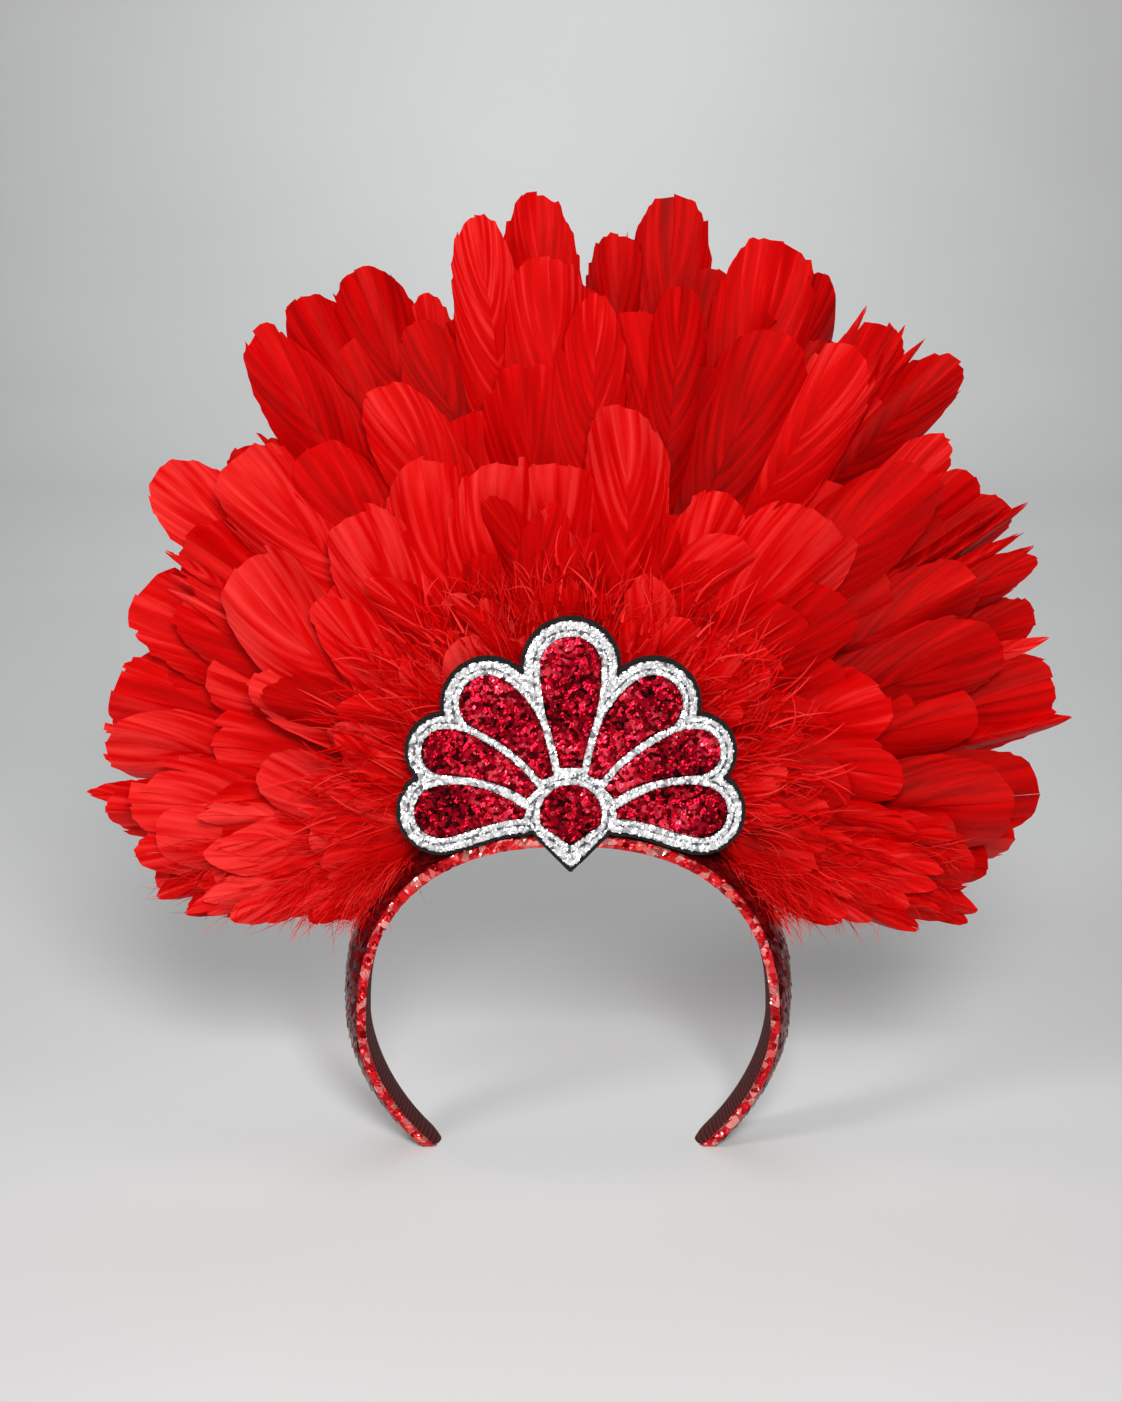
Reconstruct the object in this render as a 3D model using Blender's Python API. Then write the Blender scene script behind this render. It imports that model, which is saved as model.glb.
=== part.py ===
"""Feather headband: a padded arch that stands on its two tips, with a fan of broad feathers on its
crown and a flat petal emblem in front.

Lengths below are in millimetres and become metres when a mesh is made. X runs to the right as seen
from the front, Y to the back and Z up. The origin lies on the floor, midway between the two tips.
"""

from collections import namedtuple
import math

import bmesh
import bpy
import numpy as np

MM = 0.001
GAP = 0.3

# The arch of the band, as the line along the middle of its front edge strip
BAND_HALF_WIDTH = 68.7
BAND_WIDEST_Z = 44.0
CROWN_RISE = 65.0
CROWN_EXPONENT = 2.4
ARM_DROP = 64.0
ARM_EXPONENT = 1.8
BAND_STATIONS = 33

# The band's three layers, as distances outwards from that line
LINING_INNER = -1.5
LINING_OUTER = -0.5
LINING_BULGE = 0.8
LINING_MARGIN = 0.5
COVER_INNER = LINING_OUTER + GAP
COVER_OUTER = 1.2
STRIP_THICKNESS = 1.1
TIP_CORNER = 3.5
FOOT_BLEND = 18.0

# Sizes of the band from the crown, 0 degrees, down to a tip
BandSize = namedtuple("BandSize", "angle depth padding strip")
BAND_SIZES = [
    BandSize(0, 42.0, 2.5, 4.0),
    BandSize(35, 42.0, 4.5, 3.8),
    BandSize(68, 36.0, 5.5, 3.2),
    BandSize(90, 31.0, 4.0, 3.0),
    BandSize(112, 24.0, 2.6, 3.0),
    BandSize(134, 18.0, 1.5, 3.0),
]

# The emblem's flat layers, front to back
FELT_BACK = -42.0 / 2 - GAP - STRIP_THICKNESS - GAP
FELT_THICKNESS = 1.5
SILVER_BACK = FELT_BACK - FELT_THICKNESS - GAP
SILVER_THICKNESS = 1.4
PETAL_RIM = 0.7
PETAL_DOME = 1.5
FELT_EDGE = 1.2
HUB_X = 0.8
HUB_Z = 118.6
HUB_RADIUS = 13.9
HUB_POINT = -18.2
DROP_RADIUS = 10.2
DROP_POINT = -10.4

# Each petal window as a strip that widens along a bent axis and ends in a round: distances from the
# hub to the right and up, for the right-hand petal of a pair
Petal = namedtuple("Petal", "name root bend end root_half end_radius border")
TOP_PETAL = Petal("top", (0.0, 15.7), (0.0, 32.0), (0.0, 49.3), 3.9, 10.0, 5.2)
SIDE_PETALS = [
    Petal("upper", (7.9, 12.3), (13.7, 27.4), (26.7, 36.9), 2.6, 9.6, 4.9),
    Petal("middle", (12.4, 7.2), (24.7, 19.9), (40.9, 21.0), 2.7, 7.8, 4.2),
    Petal("lower", (15.0, 0.1), (28.5, 4.3), (42.3, 1.0), 1.7, 8.8, 4.7),
]
PETAL_SWELL = 1.15
SIDE_STEPS = 5
ROUND_STEPS = 9
SILVER_ROOT_REACH = 6.0

# The feathers turn about one focus over the crown of the band. Turn is in degrees from upright, plus
# to the right; reach is from the focus to the tip; bow is how far the middle of the shaft stands off
# the straight line, plus clockwise
FOCUS_Z = 117.0
ROOT_START = 5.0
Feather = namedtuple("Feather", "turn reach breadth bow")
BACK_ROW = [
    Feather(-84, 157, 23, 0),
    Feather(-78, 157, 30, 0),
    Feather(-65, 158, 29, 0),
    Feather(-55, 163, 16, 0),
    Feather(-52, 174, 25, 0),
    Feather(-34, 186, 24, 0),
    Feather(-28, 188, 25, 0),
    Feather(-22, 188, 25, 0),
    Feather(-16, 173, 18, -5),
    Feather(-9, 195, 20, 0),
    Feather(-3, 199, 24, 0),
    Feather(2, 169, 18, 2),
    Feather(5, 187, 20, 4),
    Feather(10, 203, 27, 6),
    Feather(21, 197, 32, 8),
    Feather(26, 192, 18, 6),
    Feather(34, 189, 24, 4),
    Feather(42, 194, 21, -6),
    Feather(47, 173, 20, 0),
    Feather(52, 172, 19, 0),
    Feather(57, 176, 20, -5),
    Feather(63, 175, 16, -3),
    Feather(69, 167, 20, 0),
    Feather(78, 167, 30, 0),
]
SECOND_ROW = [
    Feather(-81, 121, 26, 0),
    Feather(-70, 128, 25, 0),
    Feather(-63, 145, 24, 0),
    Feather(-55, 154, 28, 0),
    Feather(-44, 158, 28, 0),
    Feather(-36, 146, 24, 0),
    Feather(-24, 151, 23, 5),
    Feather(-6, 147, 25, 0),
    Feather(-2, 180, 27, 0),
    Feather(3, 170, 20, 2),
    Feather(8, 164, 26, 14),
    Feather(12, 175, 18, 8),
    Feather(24, 171, 30, 0),
    Feather(32, 178, 24, 0),
    Feather(47, 162, 27, 0),
    Feather(61, 154, 24, 0),
    Feather(70, 154, 26, 0),
    Feather(78, 139, 22, 0),
]
FRONT_ROW = [
    Feather(-68, 113, 18, 0),
    Feather(-53, 135, 26, -11),
    Feather(-36, 122, 25, -5),
    Feather(-22, 127, 29, -9),
    Feather(-11, 119, 27, -8),
    Feather(-2, 115, 24, 0),
    Feather(7, 136, 23, 9),
    Feather(26, 118, 20, 3),
    Feather(41, 129, 32, 0),
    Feather(52, 115, 24, 0),
    Feather(70, 112, 24, 0),
]

# The lowest feathers spring from the shoulder of the band, turned away from upright on their own side
SHOULDER_X = 42.0
SHOULDER_Z = 110.5
LEFT_OUTER_PLUMES = [
    Feather(87, 120, 9, 0),
    Feather(90, 113, 18, 0),
    Feather(103, 100, 19, 0),
]
LEFT_INNER_PLUMES = [
    Feather(86, 104, 22, 0),
    Feather(96, 102, 17, 0),
    Feather(108, 83, 21, 0),
]
RIGHT_OUTER_PLUMES = [
    Feather(87, 117, 27, 0),
    Feather(95, 109, 18, 0),
    Feather(101, 101, 18, 0),
]
RIGHT_INNER_PLUMES = [
    Feather(86, 107, 27, 0),
    Feather(100, 95, 20, 0),
    Feather(110, 76, 20, 0),
]
SHOULDER_FLUFF = [
    Feather(80, 46, 16, 0),
    Feather(95, 44, 16, 0),
    Feather(108, 42, 15, 0),
]

# Where a row of feathers stands: its depth at the focus, how far it leans back in the next 100 mm,
# and how much its feathers differ from each other there
Layer = namedtuple("Layer", "depth lean ruffle")
BACK_COVER_LAYER = Layer(15.0, 8.0, 0.6)
BACK_LAYER = Layer(9.0, 4.4, 1.5)
OUTER_PLUME_LAYER = Layer(6.0, 2.8, 0.3)
SECOND_LAYER = Layer(3.0, 0.2, 1.5)
INNER_PLUME_LAYER = Layer(0.0, -2.0, 0.3)
FRONT_LAYER = Layer(-3.0, -7.0, 1.5)
COLLAR_LAYER = Layer(-9.0, -13.0, 1.0)
SHOULDER_FLUFF_LAYER = Layer(-9.0, -6.0, 0.5)
LEAN_POWER = 1.5
RUFFLE_TURN = 2.6

VANE_STATIONS = (0.0, 0.3, 0.6, 0.82, 0.94, 1.0)
VANE_WIDEST = 0.78
VANE_ROOT = 0.12
VANE_TIP_RUN = 0.25
VANE_HALF_THICKNESS = 0.6
VANE_CUP = 1.3
VANE_PITCH = 0.08

PLATE_HALF_WIDTH = 30.0
PLATE_FOOT_Z = 113.4
PLATE_FOOT_DROP = 1.8
PLATE_RISE = 13.0
PLATE_THICKNESS = 4.0


def clear_scene():
    for old in list(bpy.data.objects):
        bpy.data.objects.remove(old, do_unlink=True)


def make_material(name, colour, roughness, metallic=0.0):
    material = bpy.data.materials.new(name)
    material.use_nodes = True
    shader = material.node_tree.nodes["Principled BSDF"]
    shader.inputs["Base Color"].default_value = (*colour, 1.0)
    shader.inputs["Roughness"].default_value = roughness
    shader.inputs["Metallic"].default_value = metallic
    return material


def closed_mesh(name, points, faces):
    """A mesh in metres from points in millimetres, with every face turned outwards."""
    mesh = bpy.data.meshes.new(name)
    mesh.from_pydata([tuple(point) for point in np.asarray(points) * MM], [], faces)
    work = bmesh.new()
    work.from_mesh(mesh)
    bmesh.ops.recalc_face_normals(work, faces=work.faces)
    work.to_mesh(mesh)
    work.free()
    return mesh


def place_object(name, mesh, material):
    node = bpy.data.objects.new(name, mesh)
    mesh.materials.clear()
    mesh.materials.append(material)
    mesh.shade_smooth()
    mesh.set_sharp_from_angle(angle=math.radians(30))
    bpy.context.scene.collection.objects.link(node)
    return node


def loft(rings):
    """Points and faces of a closed body through rings of equal length, with a flat cap at each end."""
    count, sides = len(rings), len(rings[0])
    faces = []
    for ring in range(count - 1):
        for side in range(sides):
            after = (side + 1) % sides
            first = ring * sides
            faces.append((first + side, first + after, first + sides + after, first + sides + side))
    faces.append(tuple(reversed(range(sides))))
    faces.append(tuple((count - 1) * sides + side for side in range(sides)))
    return np.concatenate(rings), faces


def prism(outline, front, back):
    """An outline of (x, z) points drawn out in depth from front to back."""
    rings = [[(x, depth, z) for x, z in outline] for depth in (front, back)]
    return loft([np.array(ring) for ring in rings])


def merge_flat_faces(mesh):
    work = bmesh.new()
    work.from_mesh(mesh)
    bmesh.ops.dissolve_limit(work, angle_limit=math.radians(1), verts=work.verts, edges=work.edges)
    work.to_mesh(mesh)
    work.free()
    return mesh


def boolean(target, operation, bodies):
    """The mesh of a target after one exact Boolean with several closed bodies, which are then removed."""
    group = bpy.data.collections.new("operands")
    bpy.context.scene.collection.children.link(group)
    helpers = []
    for points, faces in bodies:
        helper = bpy.data.objects.new("operand", closed_mesh("operand", points, faces))
        group.objects.link(helper)
        helpers.append(helper)
    host = bpy.data.objects.new("target", target)
    bpy.context.scene.collection.objects.link(host)
    modifier = host.modifiers.new("Join", "BOOLEAN")
    modifier.operation = operation
    modifier.operand_type = "COLLECTION"
    modifier.collection = group
    modifier.solver = "EXACT"
    graph = bpy.context.evaluated_depsgraph_get()
    result = bpy.data.meshes.new_from_object(host.evaluated_get(graph))
    for helper in helpers + [host]:
        bpy.data.objects.remove(helper, do_unlink=True)
    bpy.data.collections.remove(group)
    return result


# The band

def between_sizes(angle, column):
    """One column of BAND_SIZES at an angle from the crown, eased from row to row."""
    rows = [row.angle for row in BAND_SIZES]
    values = [getattr(row, column) for row in BAND_SIZES]
    spread = np.linspace(-9.0, 9.0, 7)
    return float(np.mean(np.interp(np.abs(angle + spread), rows, values)))


def arch_point(angle):
    """The arch at an angle from the crown: a superellipse above its widest line, and another below."""
    across, up = math.sin(math.radians(angle)), math.cos(math.radians(angle))
    rise, power = (CROWN_RISE, CROWN_EXPONENT) if up > 0 else (ARM_DROP, ARM_EXPONENT)
    radius = (abs(across / BAND_HALF_WIDTH) ** power + abs(up / rise) ** power) ** (-1.0 / power)
    return np.array((radius * across, BAND_WIDEST_Z + radius * up))


def tip_angle():
    """The angle from the crown at which the arch reaches the floor, found by halving."""
    low, high = 90.0, 179.0
    for _ in range(50):
        middle = (low + high) / 2
        low, high = (middle, high) if arch_point(middle)[1] > 0 else (low, middle)
    return (low + high) / 2


def band_frames():
    """For each station: angle, arch point, direction along, direction outwards, distance to the tip."""
    end = tip_angle()
    inner = np.linspace(-end + 4.5, end - 4.5, BAND_STATIONS)
    angles = np.concatenate([[-end, -end + 1.6], inner, [end - 1.6, end]])
    points = np.array([arch_point(angle) for angle in angles])
    ahead = np.array([arch_point(angle + 0.05) - arch_point(angle - 0.05) for angle in angles])
    along = ahead / np.linalg.norm(ahead, axis=1)[:, None]
    outward = np.stack([-along[:, 1], along[:, 0]], axis=1)
    steps = np.linalg.norm(np.diff(points, axis=0), axis=1)
    run = np.concatenate([[0.0], np.cumsum(steps)])
    return list(zip(angles, points, along, outward, np.minimum(run, run[-1] - run)))


def band_depth(angle, distance):
    """Half the band's depth, with the corners of its tips rounded off."""
    half = between_sizes(angle, "depth") / 2
    if distance >= TIP_CORNER:
        return half
    left = TIP_CORNER - distance
    return half - TIP_CORNER + math.sqrt(TIP_CORNER ** 2 - left ** 2)


def band_body(section):
    """A loft along the arch. section gives (outwards, depth) pairs for an angle and a half depth. Near
    a tip the sections lean over by degrees, so that the last one lies flat on the floor."""
    rings = []
    for angle, point, along, outward, distance in band_frames():
        lean = 0.0
        if distance < FOOT_BLEND:
            lean = -outward[1] / along[1] * (1.0 - distance / FOOT_BLEND) ** 2
        ring = []
        for offset, depth in section(angle, band_depth(angle, distance)):
            x, z = point + outward * offset + along * lean * offset
            ring.append((x, depth, 0.0 if distance == 0 else z))
        rings.append(np.array(ring))
    return loft(rings)


def cover_section(angle, half):
    padding = between_sizes(angle, "padding")
    across = np.array([1.0, 0.85, 0.5, 0.0, -0.5, -0.85, -1.0])
    crown = [(COVER_OUTER + padding * (1 - abs(s) ** 2.2), half * s) for s in across]
    return [(COVER_INNER, -half), (COVER_INNER, half)] + crown


def lining_section(angle, half):
    reach = half - LINING_MARGIN
    across = np.array([-1.0, -0.5, 0.0, 0.5, 1.0])
    inner = [(LINING_INNER - LINING_BULGE * (1 - s * s), reach * s) for s in across]
    return inner + [(LINING_OUTER, reach), (LINING_OUTER, -reach)]


def strip_section(angle, half):
    reach = between_sizes(angle, "strip") / 2
    back = -half - GAP
    front = back - STRIP_THICKNESS
    edge = 0.3
    return [(-reach, back), (-reach, front + edge), (-reach + edge, front),
            (reach - edge, front), (reach, front + edge), (reach, back)]


def make_band():
    sequins = make_material("Maroon sequins", (0.16, 0.004, 0.006), 0.35, 0.3)
    ribbed = make_material("Maroon ribbed lining", (0.05, 0.01, 0.012), 0.8)
    bright = make_material("Red edge sequins", (0.75, 0.01, 0.02), 0.2, 0.4)
    for name, section, material in (("band_cover", cover_section, sequins),
                                    ("band_lining", lining_section, ribbed),
                                    ("front_edge_strip", strip_section, bright)):
        place_object(name, closed_mesh(name, *band_body(section)), material)


# The emblem

def petal_outline(petal, side, border, reach_back=0.0):
    """A petal's outline: two sides along a bent axis, joined by a round at the outer end."""
    root, bend, end = (np.array(point) * (side, 1) for point in (petal.root, petal.bend, petal.end))
    first = (bend - root) / np.linalg.norm(bend - root)
    final = (end - bend) / np.linalg.norm(end - bend)
    left, right = [], []
    for step in np.linspace(0.0, 1.0, SIDE_STEPS, endpoint=False):
        centre = (1 - step) ** 2 * root + 2 * step * (1 - step) * bend + step ** 2 * end
        along = (1 - step) * first + step * final
        along /= np.linalg.norm(along)
        swell = math.sin(step * math.pi / 2) ** PETAL_SWELL
        half = petal.root_half + (petal.end_radius - petal.root_half) * swell + border
        if step == 0:
            centre = centre - first * reach_back
        normal = np.array((-along[1], along[0]))
        left.append(centre + normal * half)
        right.append(centre - normal * half)
    turns = np.linspace(math.pi / 2, -math.pi / 2, ROUND_STEPS)
    start = math.atan2(final[1], final[0])
    radius = petal.end_radius + border
    cap = [end + radius * np.array((math.cos(start + turn), math.sin(start + turn))) for turn in turns]
    return [(HUB_X + x, HUB_Z + z) for x, z in left + cap + right[::-1]]


def drop_outline(radius, point, steps=13):
    """The hub's upturned drop: a round that runs down to a point."""
    turns = np.radians(np.linspace(200.0, -20.0, steps))
    rim = [(HUB_X + radius * math.cos(turn), HUB_Z + radius * math.sin(turn)) for turn in turns]
    return rim + [(HUB_X, HUB_Z + point)]


def hub_outline(border):
    return drop_outline(HUB_RADIUS + border, HUB_POINT - 1.6 * border, 17)


def all_petals():
    petals = [("petal_top", TOP_PETAL, 1)]
    for petal in SIDE_PETALS:
        petals += [(f"petal_{petal.name}_left", petal, -1), (f"petal_{petal.name}_right", petal, 1)]
    return petals


def emblem_plate(edge, front, back):
    """The emblem's whole outline as one plate: seven petals and the hub, fused."""
    bodies = [prism(petal_outline(petal, side, petal.border + edge, SILVER_ROOT_REACH), front, back)
              for _, petal, side in all_petals()]
    hub = closed_mesh("plate", *prism(hub_outline(edge), front, back))
    return merge_flat_faces(boolean(hub, "UNION", bodies))


def padded_inlay(outline, front, back):
    """A window's filling: upright at the rim, then sloped to a flat face."""
    rim = np.array(outline)
    middle = rim.mean(axis=0)
    rings = [np.column_stack([rim[:, 0], np.full(len(rim), back), rim[:, 1]]),
             np.column_stack([rim[:, 0], np.full(len(rim), back - PETAL_RIM), rim[:, 1]])]
    inset = middle + (rim - middle) * 0.72
    rings.append(np.column_stack([inset[:, 0], np.full(len(rim), front), inset[:, 1]]))
    return loft(rings)


def make_emblem():
    felt = make_material("Black felt", (0.01, 0.01, 0.01), 0.95)
    silver = make_material("Silver sequins", (0.8, 0.8, 0.82), 0.3, 0.8)
    glitter = make_material("Red glitter", (0.45, 0.0, 0.015), 0.3, 0.4)
    place_object("emblem_felt", emblem_plate(FELT_EDGE, FELT_BACK - FELT_THICKNESS, FELT_BACK), felt)

    silver_front = SILVER_BACK - SILVER_THICKNESS
    plate = emblem_plate(0.0, silver_front, SILVER_BACK)
    windows = [prism(petal_outline(petal, side, 0.0), silver_front - 1, SILVER_BACK + 1)
               for _, petal, side in all_petals()]
    windows.append(prism(drop_outline(DROP_RADIUS, DROP_POINT), silver_front - 1, SILVER_BACK + 1))
    border = merge_flat_faces(boolean(plate, "DIFFERENCE", windows))
    place_object("emblem_silver_border", border, silver)

    inlay_front = SILVER_BACK - PETAL_DOME
    for name, petal, side in all_petals():
        outline = petal_outline(petal, side, -GAP, -GAP)
        place_object(name, closed_mesh(name, *padded_inlay(outline, inlay_front, SILVER_BACK)), glitter)
    outline = drop_outline(DROP_RADIUS - GAP, DROP_POINT + 1.5 * GAP)
    mesh = closed_mesh("hub_drop", *padded_inlay(outline, inlay_front, SILVER_BACK))
    place_object("hub_drop", mesh, glitter)


# The feathers

def vane_width(step):
    """Share of the full breadth along the shaft: a slow rise from the quill, then a blunt round tip."""
    rise = min(step / VANE_WIDEST, 1.0)
    rise = VANE_ROOT + (1 - VANE_ROOT) * rise * rise * (3 - 2 * rise)
    beyond = max(step - VANE_WIDEST, 0.0) / VANE_TIP_RUN
    return rise * math.sqrt(1 - beyond * beyond)


def layer_depth(layer, number, distance):
    """How far back the numbered feather of a row stands at a distance from the focus."""
    lean = layer.lean + layer.ruffle * math.sin(RUFFLE_TURN * number)
    return layer.depth + lean * (distance / 100.0) ** LEAN_POWER


def feather_body(feather, layer, number, root=(0.0, FOCUS_Z), start=ROOT_START):
    """A blade with a low ridge front and back, bowed in the plane of the fan and leaning with its row."""
    turn = math.radians(feather.turn)
    along = np.array((math.sin(turn), math.cos(turn)))
    across = np.array((math.cos(turn), -math.sin(turn)))
    rings = []
    for step in VANE_STATIONS:
        distance = start + (feather.reach - start) * step
        middle = np.array(root) + along * distance + across * feather.bow * 4 * step * (1 - step)
        half = feather.breadth / 2 * vane_width(step)
        depth = layer_depth(layer, number, math.hypot(middle[0], middle[1] - FOCUS_Z))
        ridge = VANE_HALF_THICKNESS * (1 - 0.4 * step)
        rings.append(np.array([
            (*(middle - across * half), depth + VANE_CUP * step + VANE_PITCH * half),
            (*middle, depth - ridge),
            (*(middle + across * half), depth + VANE_CUP * step - VANE_PITCH * half),
            (*middle, depth + ridge),
        ])[:, [0, 2, 1]])
    return loft(rings)


def fan_plate(layer):
    """The plate that a row is sewn to, which follows the crown of the band."""
    turns = np.radians(np.linspace(0.0, 180.0, 9))
    rim = [(PLATE_HALF_WIDTH * math.cos(turn), PLATE_FOOT_Z + 2 + PLATE_RISE * math.sin(turn)) for turn in turns]
    foot = [(PLATE_HALF_WIDTH * share, PLATE_FOOT_Z - PLATE_FOOT_DROP * abs(share) ** 4)
            for share in (-1.0, -0.65, 0.0, 0.65, 1.0)]
    return prism(rim + foot, layer.depth - PLATE_THICKNESS / 2, layer.depth + PLATE_THICKNESS / 2)


def feather_fan(name, feathers, layer, material):
    base = closed_mesh(name, *fan_plate(layer))
    blades = [feather_body(row, layer, number) for number, row in enumerate(feathers)]
    place_object(name, boolean(base, "UNION", blades), material)


def even_fan(widest, count, reach, breadth):
    """A row of equal feathers, spread evenly to both sides, every other one a little shorter."""
    turns = np.linspace(-widest, widest, count)
    return [Feather(turn, reach * (0.94 if number % 2 else 1.0), breadth, 0)
            for number, turn in enumerate(turns)]


def shoulder_plate(side):
    """The block on the band's shoulder that the lowest feathers are sewn to."""
    low_in, low_out = (31.5, 112.2), (49.0, 104.6)
    outline = [low_in, (31.5, 114.2), (38.0, 115.0), (51.5, 110.2), low_out]
    outline = [(side * x, z) for x, z in outline]
    return prism(outline, COLLAR_LAYER.depth - 1.5, OUTER_PLUME_LAYER.depth + 3.5)


def side_plumes(name, side, outer, inner, material):
    root = (side * SHOULDER_X, SHOULDER_Z)
    bodies = []
    for rows, layer in ((outer, OUTER_PLUME_LAYER), (inner, INNER_PLUME_LAYER),
                        (SHOULDER_FLUFF, SHOULDER_FLUFF_LAYER)):
        for number, row in enumerate(rows):
            feather = Feather(side * row.turn, row.reach, row.breadth, side * row.bow)
            bodies.append(feather_body(feather, layer, number, root, 0.0))
    base = closed_mesh(name, *shoulder_plate(side))
    place_object(name, boolean(base, "UNION", bodies), material)


def make_feathers():
    red = make_material("Red feathers", (0.6, 0.004, 0.006), 0.55)
    feather_fan("feathers_back_cover", even_fan(82, 13, 118, 29), BACK_COVER_LAYER, red)
    feather_fan("feathers_back_row", BACK_ROW, BACK_LAYER, red)
    feather_fan("feathers_second_row", SECOND_ROW, SECOND_LAYER, red)
    feather_fan("feathers_front_row", FRONT_ROW, FRONT_LAYER, red)
    feather_fan("feathers_collar", even_fan(84, 13, 80, 22), COLLAR_LAYER, red)
    side_plumes("side_plumes_left", -1, LEFT_OUTER_PLUMES, LEFT_INNER_PLUMES, red)
    side_plumes("side_plumes_right", 1, RIGHT_OUTER_PLUMES, RIGHT_INNER_PLUMES, red)


clear_scene()
make_band()
make_emblem()
make_feathers()
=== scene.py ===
# %% [markdown]
# # A feather headband
#
# This lesson dresses a headband that stands on its two tips: a padded arch covered in sequins, a flat
# petal emblem in front, and a wide fan of dyed red feathers on the crown. Every shape is a surface
# worked out with numpy, so each cell can be read as a formula and changed by its named sizes.
#
# The model's frame comes first, because every piece is placed by it: X to the right, Y to the back,
# Z up, with the floor at zero.

# %% The frame
import math

import bpy
import numpy as np
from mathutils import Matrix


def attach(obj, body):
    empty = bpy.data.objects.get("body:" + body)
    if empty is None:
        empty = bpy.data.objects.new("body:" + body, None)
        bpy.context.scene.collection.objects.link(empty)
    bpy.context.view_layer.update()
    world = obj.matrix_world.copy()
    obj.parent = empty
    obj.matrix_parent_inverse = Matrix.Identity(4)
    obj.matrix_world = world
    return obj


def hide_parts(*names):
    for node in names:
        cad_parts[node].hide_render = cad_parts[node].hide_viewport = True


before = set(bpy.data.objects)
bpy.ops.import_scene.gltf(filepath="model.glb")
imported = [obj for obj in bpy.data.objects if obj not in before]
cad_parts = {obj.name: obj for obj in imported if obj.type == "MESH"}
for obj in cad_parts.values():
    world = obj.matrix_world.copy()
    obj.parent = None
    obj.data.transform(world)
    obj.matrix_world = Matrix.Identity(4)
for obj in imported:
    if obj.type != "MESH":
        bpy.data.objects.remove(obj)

MM = 0.001
rng = np.random.default_rng(7)
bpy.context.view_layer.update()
print("nodes to dress:", ", ".join(sorted(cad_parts)))

# %% [markdown]
# ## Camera
#
# The headband is seen from the front and a little from above, with a long lens, so that its sides
# hardly converge. The distance and the lens together set the perspective; the aim sets the framing.

# %% The camera
CAMERA_AIM = np.array((-2.4, 0.0, 151.2)) * MM
CAMERA_DISTANCE = 1.3
CAMERA_ELEVATION = math.radians(12)
FOCAL_LENGTH = 101.1

camera_data = bpy.data.cameras.new("Camera")
camera_data.sensor_fit = "VERTICAL"
camera_data.sensor_height = 36.0
camera_data.lens = FOCAL_LENGTH
camera = bpy.data.objects.new("Camera", camera_data)
camera.location = CAMERA_AIM + CAMERA_DISTANCE * np.array(
    (0.0, -math.cos(CAMERA_ELEVATION), math.sin(CAMERA_ELEVATION)))
camera.rotation_euler = (math.pi / 2 - CAMERA_ELEVATION, 0.0, 0.0)
bpy.context.scene.collection.objects.link(camera)
bpy.context.scene.camera = camera
print("camera at", [round(value, 3) for value in camera.location])

# %% [markdown]
# ## From arrays to meshes
#
# One function turns arrays into a mesh. Points come in millimetres, faces as rows of point numbers,
# and any further array becomes a point attribute that a material can read.

# %% Surfaces
def grid_faces(rows, columns, first=0):
    """Quads of a grid of points, row after row: point (r, c) joins (r, c+1), (r+1, c+1) and (r+1, c)."""
    r, c = np.meshgrid(np.arange(rows - 1), np.arange(columns - 1), indexing="ij")
    corner = first + r * columns + c
    return np.stack([corner, corner + 1, corner + columns + 1, corner + columns], axis=-1).reshape(-1, 4)


def surface(name, points, face_sets, material, uv=None, smooth=True, **values):
    """A mesh object from points in millimetres and arrays of faces, with a UV map and attributes."""
    mesh = bpy.data.meshes.new(name)
    loops = np.concatenate([faces.ravel() for faces in face_sets]).astype(np.int32)
    sizes = np.concatenate([np.full(len(faces), faces.shape[1]) for faces in face_sets])
    mesh.vertices.add(len(points))
    mesh.vertices.foreach_set("co", (np.asarray(points) * MM).astype(np.float32).ravel())
    mesh.loops.add(len(loops))
    mesh.loops.foreach_set("vertex_index", loops)
    mesh.polygons.add(len(sizes))
    mesh.polygons.foreach_set("loop_start", (np.cumsum(sizes) - sizes).astype(np.int32))
    mesh.polygons.foreach_set("use_smooth", np.full(len(sizes), smooth))
    if uv is not None:
        layer = mesh.uv_layers.new(name="Pattern")
        layer.data.foreach_set("uv", np.asarray(uv, np.float32)[loops].ravel())
    for key, value in values.items():
        mesh.attributes.new(key, "FLOAT", "POINT").data.foreach_set("value", np.asarray(value, np.float32))
    mesh.update(calc_edges=True)
    mesh.validate()
    mesh.materials.append(material)
    piece = bpy.data.objects.new(name, mesh)
    bpy.context.scene.collection.objects.link(piece)
    print(f"{name}: {len(points)} points, {len(sizes)} faces")
    return piece


def dress(piece, slot, *nodes):
    """The piece rides on the one body and stands for its nodes, which are hidden; slot is not used."""
    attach(piece, "root")
    if nodes:
        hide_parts(*nodes)

# %% [markdown]
# ## Shader sums
#
# A finish is a small formula over the surface. This class lets the formula be written as one: a
# wrapped socket can be added and multiplied, and each sign adds its Math node.

# %% Shader values
class Value:
    """A node's output socket that takes part in sums."""

    def __init__(self, finish, socket):
        self.finish = finish
        self.socket = socket

    def sum(self, operation, first, second):
        return self.finish.node("ShaderNodeMath", {"operation": operation}, {0: first, 1: second})

    def __add__(self, other):
        return self.sum("ADD", self, other)

    def __sub__(self, other):
        return self.sum("SUBTRACT", self, other)

    def __rsub__(self, other):
        return self.sum("SUBTRACT", other, self)

    def __mul__(self, other):
        return self.sum("MULTIPLY", self, other)

    __radd__ = __add__
    __rmul__ = __mul__


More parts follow.
